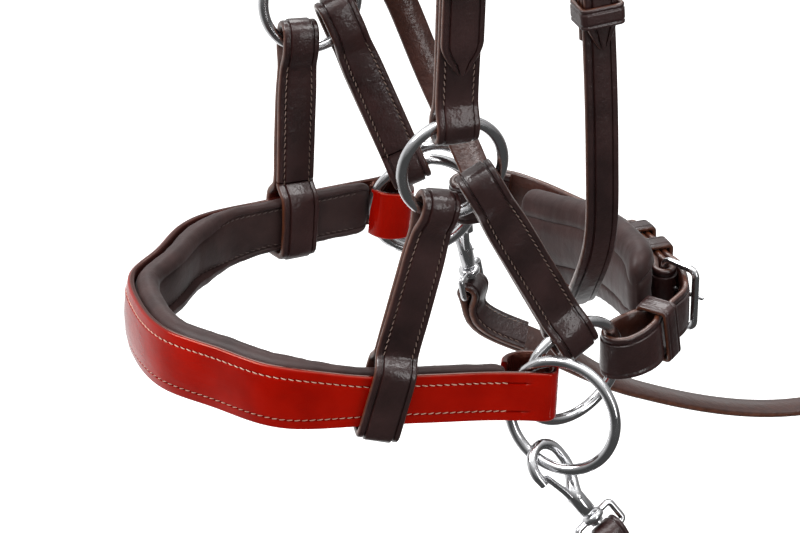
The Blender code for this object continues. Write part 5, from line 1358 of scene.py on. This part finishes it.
# Where each hook holds its ring's wire, which way it hangs and which way it faces.
hook_places = {1: (-102.0, (0.30, 0.56, -0.77), (0.93, 0.16, 0.21)),
               -1: (-42.0, (-0.05, 0.20, -0.98), (-0.70, -0.69, -0.16))}
snap_eyes, snap_bars = {}, {}
for side, hand in hands.items():
    angle, axis, facing = hook_places[side]
    origin, arm = rein_rings[side].at(angle)
    turn = math.radians(angle)
    wire_way = rein_rings[side].up * math.cos(turn) - rein_rings[side].rear * math.sin(turn)
    hook, snap_eyes[side] = Snap(origin, axis, wire_way), Snap(origin, axis, facing)
    snap_bars[side] = hook.spot(SNAP_TOP_BAR + SNAP_EYE_DEEP, 0.0)
    make_hook(hand, hook)
    make_gate(hand, hook)
    make_snap_eye(hand, snap_eyes[side])


# Reins: two long flat straps, folded and sewn round the snap eyes and buckled to each other
# where they lie over the bracket.
REIN_SIDE = 0.088
REIN_LOW = 0.651
REIN_REACH = 0.520
REIN_TOP_BACK = 0.052
REIN_BUCKLE_DROP = 0.128
REIN_BUCKLE_SIDE = 0.0825
REIN_TURN = 0.046
SNAP_TURN = 0.036
REIN_STEP = 0.003
REIN_STITCH_START = 0.012
REIN_STITCH_END = 0.010
REIN_KEEPER_PLACE = 0.017
REIN_RUNNER_PLACE = 0.031
REIN_TIP_PLACE = 0.048
REIN_CREASE = (NARROW_STITCH_INSET, 0.00035, 0.0003)


def rein_points(side, snap, bar):
    """A rein's line from the snap's eye, down, back, up and forward to the bracket's side. Each
    point is a share of the way across, back and down, and of how far its face looks sideways."""
    line_shares = ((1.02, 0.183, 0.925, 0.5), (1.06, 0.265, 0.967, 0.1), (1.08, 0.40, 1.0, 0.0),
                   (1.08, 0.56, 0.985, 0.0), (1.08, 0.74, 0.93, 0.0), (1.06, 0.90, 0.82, 0.0),
                   (1.03, 0.99, 0.66, 0.0), (1.0, 0.98, 0.50, 0.0), (0.99, 0.86, 0.385, 0.0),
                   (0.98, 0.64, 0.355, 0.0), (0.965, 0.42, 0.372, 0.1), (0.95, 0.27, 0.392, 0.6),
                   (0.943, 0.175, 0.380, 1.0))
    points = [bar, bar + snap.axis * REIN_WIDTH]
    outs = [snap.normal, snap.normal]
    centre = Vector((0, REIN_REACH * 0.45, -REIN_LOW * 0.55))
    for across_share, reach_share, low_share, keep in line_shares:
        point = Vector((side * REIN_SIDE * across_share, REIN_REACH * reach_share, -REIN_LOW * low_share))
        radial = point - centre
        radial.x = 0
        points.append(point)
        outs.append(radial.normalized() * (1 - keep) + Vector((side, 0, 0)) * keep)
    for back_share, drop_share in ((1.18, 1.66), (1.12, 1.44), (1.06, 1.22), (1.0, 1.0)):
        points.append(Vector((side * REIN_BUCKLE_SIDE, REIN_TOP_BACK * back_share, -REIN_BUCKLE_DROP * drop_share)))
        outs.append(Vector((side, 0, 0)))
    return points, outs


near_rein = Route(*rein_points(1, snap_eyes[1], snap_bars[1]))
snap_fold = bar_eye(0.0, -1, DOUBLED, SNAP_EYE_WIRE)
start = [(SNAP_TURN, -LAYER)] + run(SNAP_TURN, snap_fold[0][0], -LAYER, 1) + snap_fold
buckle_fold = bar_eye(near_rein.length, 1, DOUBLED)[::-1]
turn_end = near_rein.length - REIN_TURN
end = buckle_fold + run(buckle_fold[-1][0], turn_end, -LAYER, 2) + [(turn_end, -LAYER)]
near_line = start + run(start[-1][0], end[0][0], LAYER, 56) + end
near_frames = strip_frames(near_rein, near_line, REIN_WIDTH, STRAP_THICK, step=REIN_STEP)
dress(leather_strip("near_rein_strap", near_frames, STRAP_THICK, leather, REIN_CREASE), "rein_near")
make_buckle(("rein_buckle", "rein_tongue"), ("rein_buckle_frame", "rein_buckle_tongue"), near_rein,
            near_rein.length, 1, REIN_WIDTH, STRAP_THICK)
rein_rest = FACE + GAP + STRAP_THICK
make_keeper("rein_sewn_keeper", "rein_keeper", near_rein, near_rein.length - REIN_KEEPER_PLACE, -FACE,
            rein_rest, REIN_WIDTH)
make_keeper("rein_sliding_keeper", "rein_runner", near_rein, near_rein.length - REIN_RUNNER_PLACE, -FACE,
            rein_rest, REIN_WIDTH)
points, outs = rein_points(-1, snap_eyes[-1], snap_bars[-1])
for k in range(13):
    point, out = crown_arc(-84 + 168 * k / 12, BRACKET_RADIUS + GAP + STRAP_THICK / 2 - LAYER)
    points.append(point + Vector((0, REIN_TOP_BACK, 0)))
    outs.append(out)
far_rein = Route(points, outs)
far_line = start + run(start[-1][0], far_rein.length, LAYER, 74) + [(far_rein.length, LAYER)]
rein_tip = near_rein.length - REIN_TIP_PLACE
ahead = billet_line(near_rein.length, 1, rein_tip, STRAP_THICK)[1:]
far_frames = strip_frames(far_rein, far_line, REIN_WIDTH, STRAP_THICK, step=REIN_STEP)
tip_frames = strip_frames(near_rein, ahead, pointed(REIN_WIDTH, rein_tip, -1), STRAP_THICK, hands=(-1, -1))
far_frames += between_frames(far_frames[-1], tip_frames[0], 6) + tip_frames
dress(leather_strip("far_rein_strap", far_frames, STRAP_THICK, leather, REIN_CREASE), "rein_far")
for rein, hand in ((near_rein, "near"), (far_rein, "far")):
    rows = ([], [])
    for out_side, faced in ((LAYER, (1, 1)), (-LAYER, (1, -1))):
        flat_rows(rows, rein, REIN_STITCH_START, SNAP_TURN, out_side, REIN_WIDTH, STRAP_THICK, faced,
                  NARROW_STITCH_INSET)
    if rein is near_rein:
        flat_rows(rows, rein, turn_end, rein.length - REIN_STITCH_END, -LAYER, REIN_WIDTH, STRAP_THICK, (1, -1),
                  NARROW_STITCH_INSET)
    sew(hand + "_rein_stitching", rows, brown_thread, "rein_" + hand)


# Studio: a pale painted floor under the hanging bridle, a white surround, soft boxes in front,
# above and behind, and a grey cloth outside the view that polished surfaces show as dark tones.
FLOOR_DROP = 0.80
FLOOR_HALF = 3.0
DRAPE_HEM = -0.79
DRAPE_FOOT_REACH = 0.02
DRAPE_REACH = 2.1
DRAPE_TOP = 1.1
CLOTH_DARK = 0.07


def dark_cloth():
    """Unlit grey cloth, darkest at the middle and paler towards both ends and the top, so that a
    polished surface shades from dark to light."""
    made = bpy.data.materials.new("studio_drape_cloth")
    made.use_nodes = True
    tree = made.node_tree
    tree.nodes.clear()
    place = add_node(tree, "TexCoord", {}).outputs["Object"]
    round_value = add_node(tree, "TexGradient", {"Vector": place}, gradient_type="RADIAL").outputs["Fac"]
    left = add_node(tree, "MapRange", {"Value": round_value, "From Min": 0.12, "From Max": 0.34, "To Min": 0.9,
                                       "To Max": CLOTH_DARK}, interpolation_type="SMOOTHSTEP").outputs[0]
    right = add_node(tree, "MapRange", {"Value": round_value, "From Min": 0.72, "From Max": 0.90,
                                        "To Min": CLOTH_DARK, "To Max": 0.6},
                     interpolation_type="SMOOTHSTEP").outputs[0]
    level = add_node(tree, "SeparateXYZ", {"Vector": place}).outputs["Z"]
    wall = add_node(tree, "MapRange", {"Value": level, "From Min": -0.75, "From Max": DRAPE_TOP,
                                       "To Min": CLOTH_DARK, "To Max": 0.6}).outputs[0]
    tone = add_node(tree, "Math", {0: left, 1: right}, operation="MAXIMUM").outputs[0]
    tone = add_node(tree, "Math", {0: tone, 1: wall}, operation="MAXIMUM").outputs[0]
    light = add_node(tree, "Emission", {"Strength": tone}).outputs[0]
    add_node(tree, "OutputMaterial", {"Surface": light})
    return made


def soft_box(name, azimuth, elevation, distance, size, power):
    """An area light aimed at the noseband. Azimuth 0 is in front of the nose, 90 the near side."""
    turn, rise = math.radians(azimuth), math.radians(elevation)
    aim = Vector((0.02, 0.0, -0.50))
    way = Vector((math.sin(turn) * math.cos(rise), -math.cos(turn) * math.cos(rise), math.sin(rise)))
    lamp = bpy.data.lights.new(name, "AREA")
    lamp.shape = "RECTANGLE"
    lamp.size, lamp.size_y = size
    lamp.energy = power
    obj = bpy.data.objects.new(name, lamp)
    obj.location = aim + way * distance
    obj.rotation_euler = way.to_track_quat("Z", "Y").to_euler()
    bpy.context.scene.collection.objects.link(obj)


def dark_drape(name, start, end, outline):
    """A cloth round part of the bridle, from start to end in degrees, that only polished surfaces
    see. outline gives its distance and height from its hem under the bridle to its top."""
    steps = 48
    points = []
    for k in range(steps + 1):
        turn = math.radians(start + (end - start) * k / steps)
        points += [Vector((math.sin(turn) * reach, -math.cos(turn) * reach, level)) for reach, level in outline]
    rows = len(outline)
    faces = [(rows * k + j, rows * k + j + 1, rows * (k + 1) + j + 1, rows * (k + 1) + j)
             for k in range(steps) for j in range(rows - 1)]
    drape = mesh_object(name, points, faces, dark_cloth())
    drape.visible_camera = drape.visible_diffuse = drape.visible_shadow = drape.visible_transmission = False


camera_right = Vector((0.326, 0.946, 0.0)).normalized()
camera_back = Vector((0.850, -0.293, 0.438))
camera_up = camera_back.cross(camera_right).normalized()
camera_back = camera_right.cross(camera_up)
camera_data = bpy.data.cameras.new("camera")
camera_data.lens = 190.35
camera_data.sensor_width = 36.0
camera_data.clip_end = 20.0
camera = bpy.data.objects.new("camera", camera_data)
basis = Matrix((camera_right, camera_up, camera_back)).transposed().to_4x4()
camera.matrix_world = Matrix.Translation(Vector((1.3655, -0.4718, 0.1952))) @ basis
bpy.context.scene.collection.objects.link(camera)
bpy.context.scene.camera = camera
bpy.context.scene.view_settings.view_transform = "Standard"

world = bpy.data.worlds.new("white_studio")
bpy.context.scene.world = world
world.use_nodes = True
tree = world.node_tree
tree.nodes.clear()
path = add_node(tree, "LightPath", {}).outputs
seen = path["Is Camera Ray"]
for ray in ("Is Transmission Ray", "Is Glossy Ray"):
    seen = add_node(tree, "Math", {0: seen, 1: path[ray]}, operation="MAXIMUM").outputs[0]
level = add_node(tree, "MapRange", {"Value": seen, "To Min": 0.24, "To Max": 1.0}).outputs[0]
light = add_node(tree, "Background", {"Color": (1.0, 1.0, 1.0, 1.0), "Strength": level}).outputs[0]
add_node(tree, "OutputWorld", {"Surface": light})

# Matt floor paint: nearly white, and dull enough to show only the bridle's shadow.
floor_paint, tree, shader, _ = new_material(
    "painted_floor_matt", Roughness=0.9, Base_Color=colour("#f4f4f4"), Emission_Color=(1.0, 1.0, 1.0, 1.0))
path = add_node(tree, "LightPath", {}).outputs
seen = add_node(tree, "Math", {0: path["Is Camera Ray"], 1: path["Is Glossy Ray"]}, operation="MAXIMUM").outputs[0]
lifted = add_node(tree, "Math", {0: seen, 1: 0.60}, operation="MULTIPLY").outputs[0]
tree.links.new(lifted, shader.inputs["Emission Strength"])
corners = [(FLOOR_HALF * a, FLOOR_HALF * b, -FLOOR_DROP) for a, b in ((-1, -1), (1, -1), (1, 1), (-1, 1))]
floor = mesh_object("floor", corners, [(0, 1, 2, 3)], floor_paint)
soft_box("key_box", -5.0, 48.0, 1.5, (0.8, 0.6), 20.0)
soft_box("top_box", 70.0, 76.0, 1.5, (1.2, 1.0), 13.0)
soft_box("side_box", 112.0, 12.0, 1.5, (0.35, 0.9), 4.0)
soft_box("fill_box", 150.0, 55.0, 1.6, (0.5, 0.5), 5.0)
soft_box("back_box", 255.0, 50.0, 1.6, (0.7, 0.7), 8.0)
drape_outline = ((DRAPE_FOOT_REACH, DRAPE_HEM), (DRAPE_REACH, DRAPE_HEM), (DRAPE_REACH, DRAPE_TOP))
dark_drape("studio_drape", -85.0, 262.0, drape_outline)
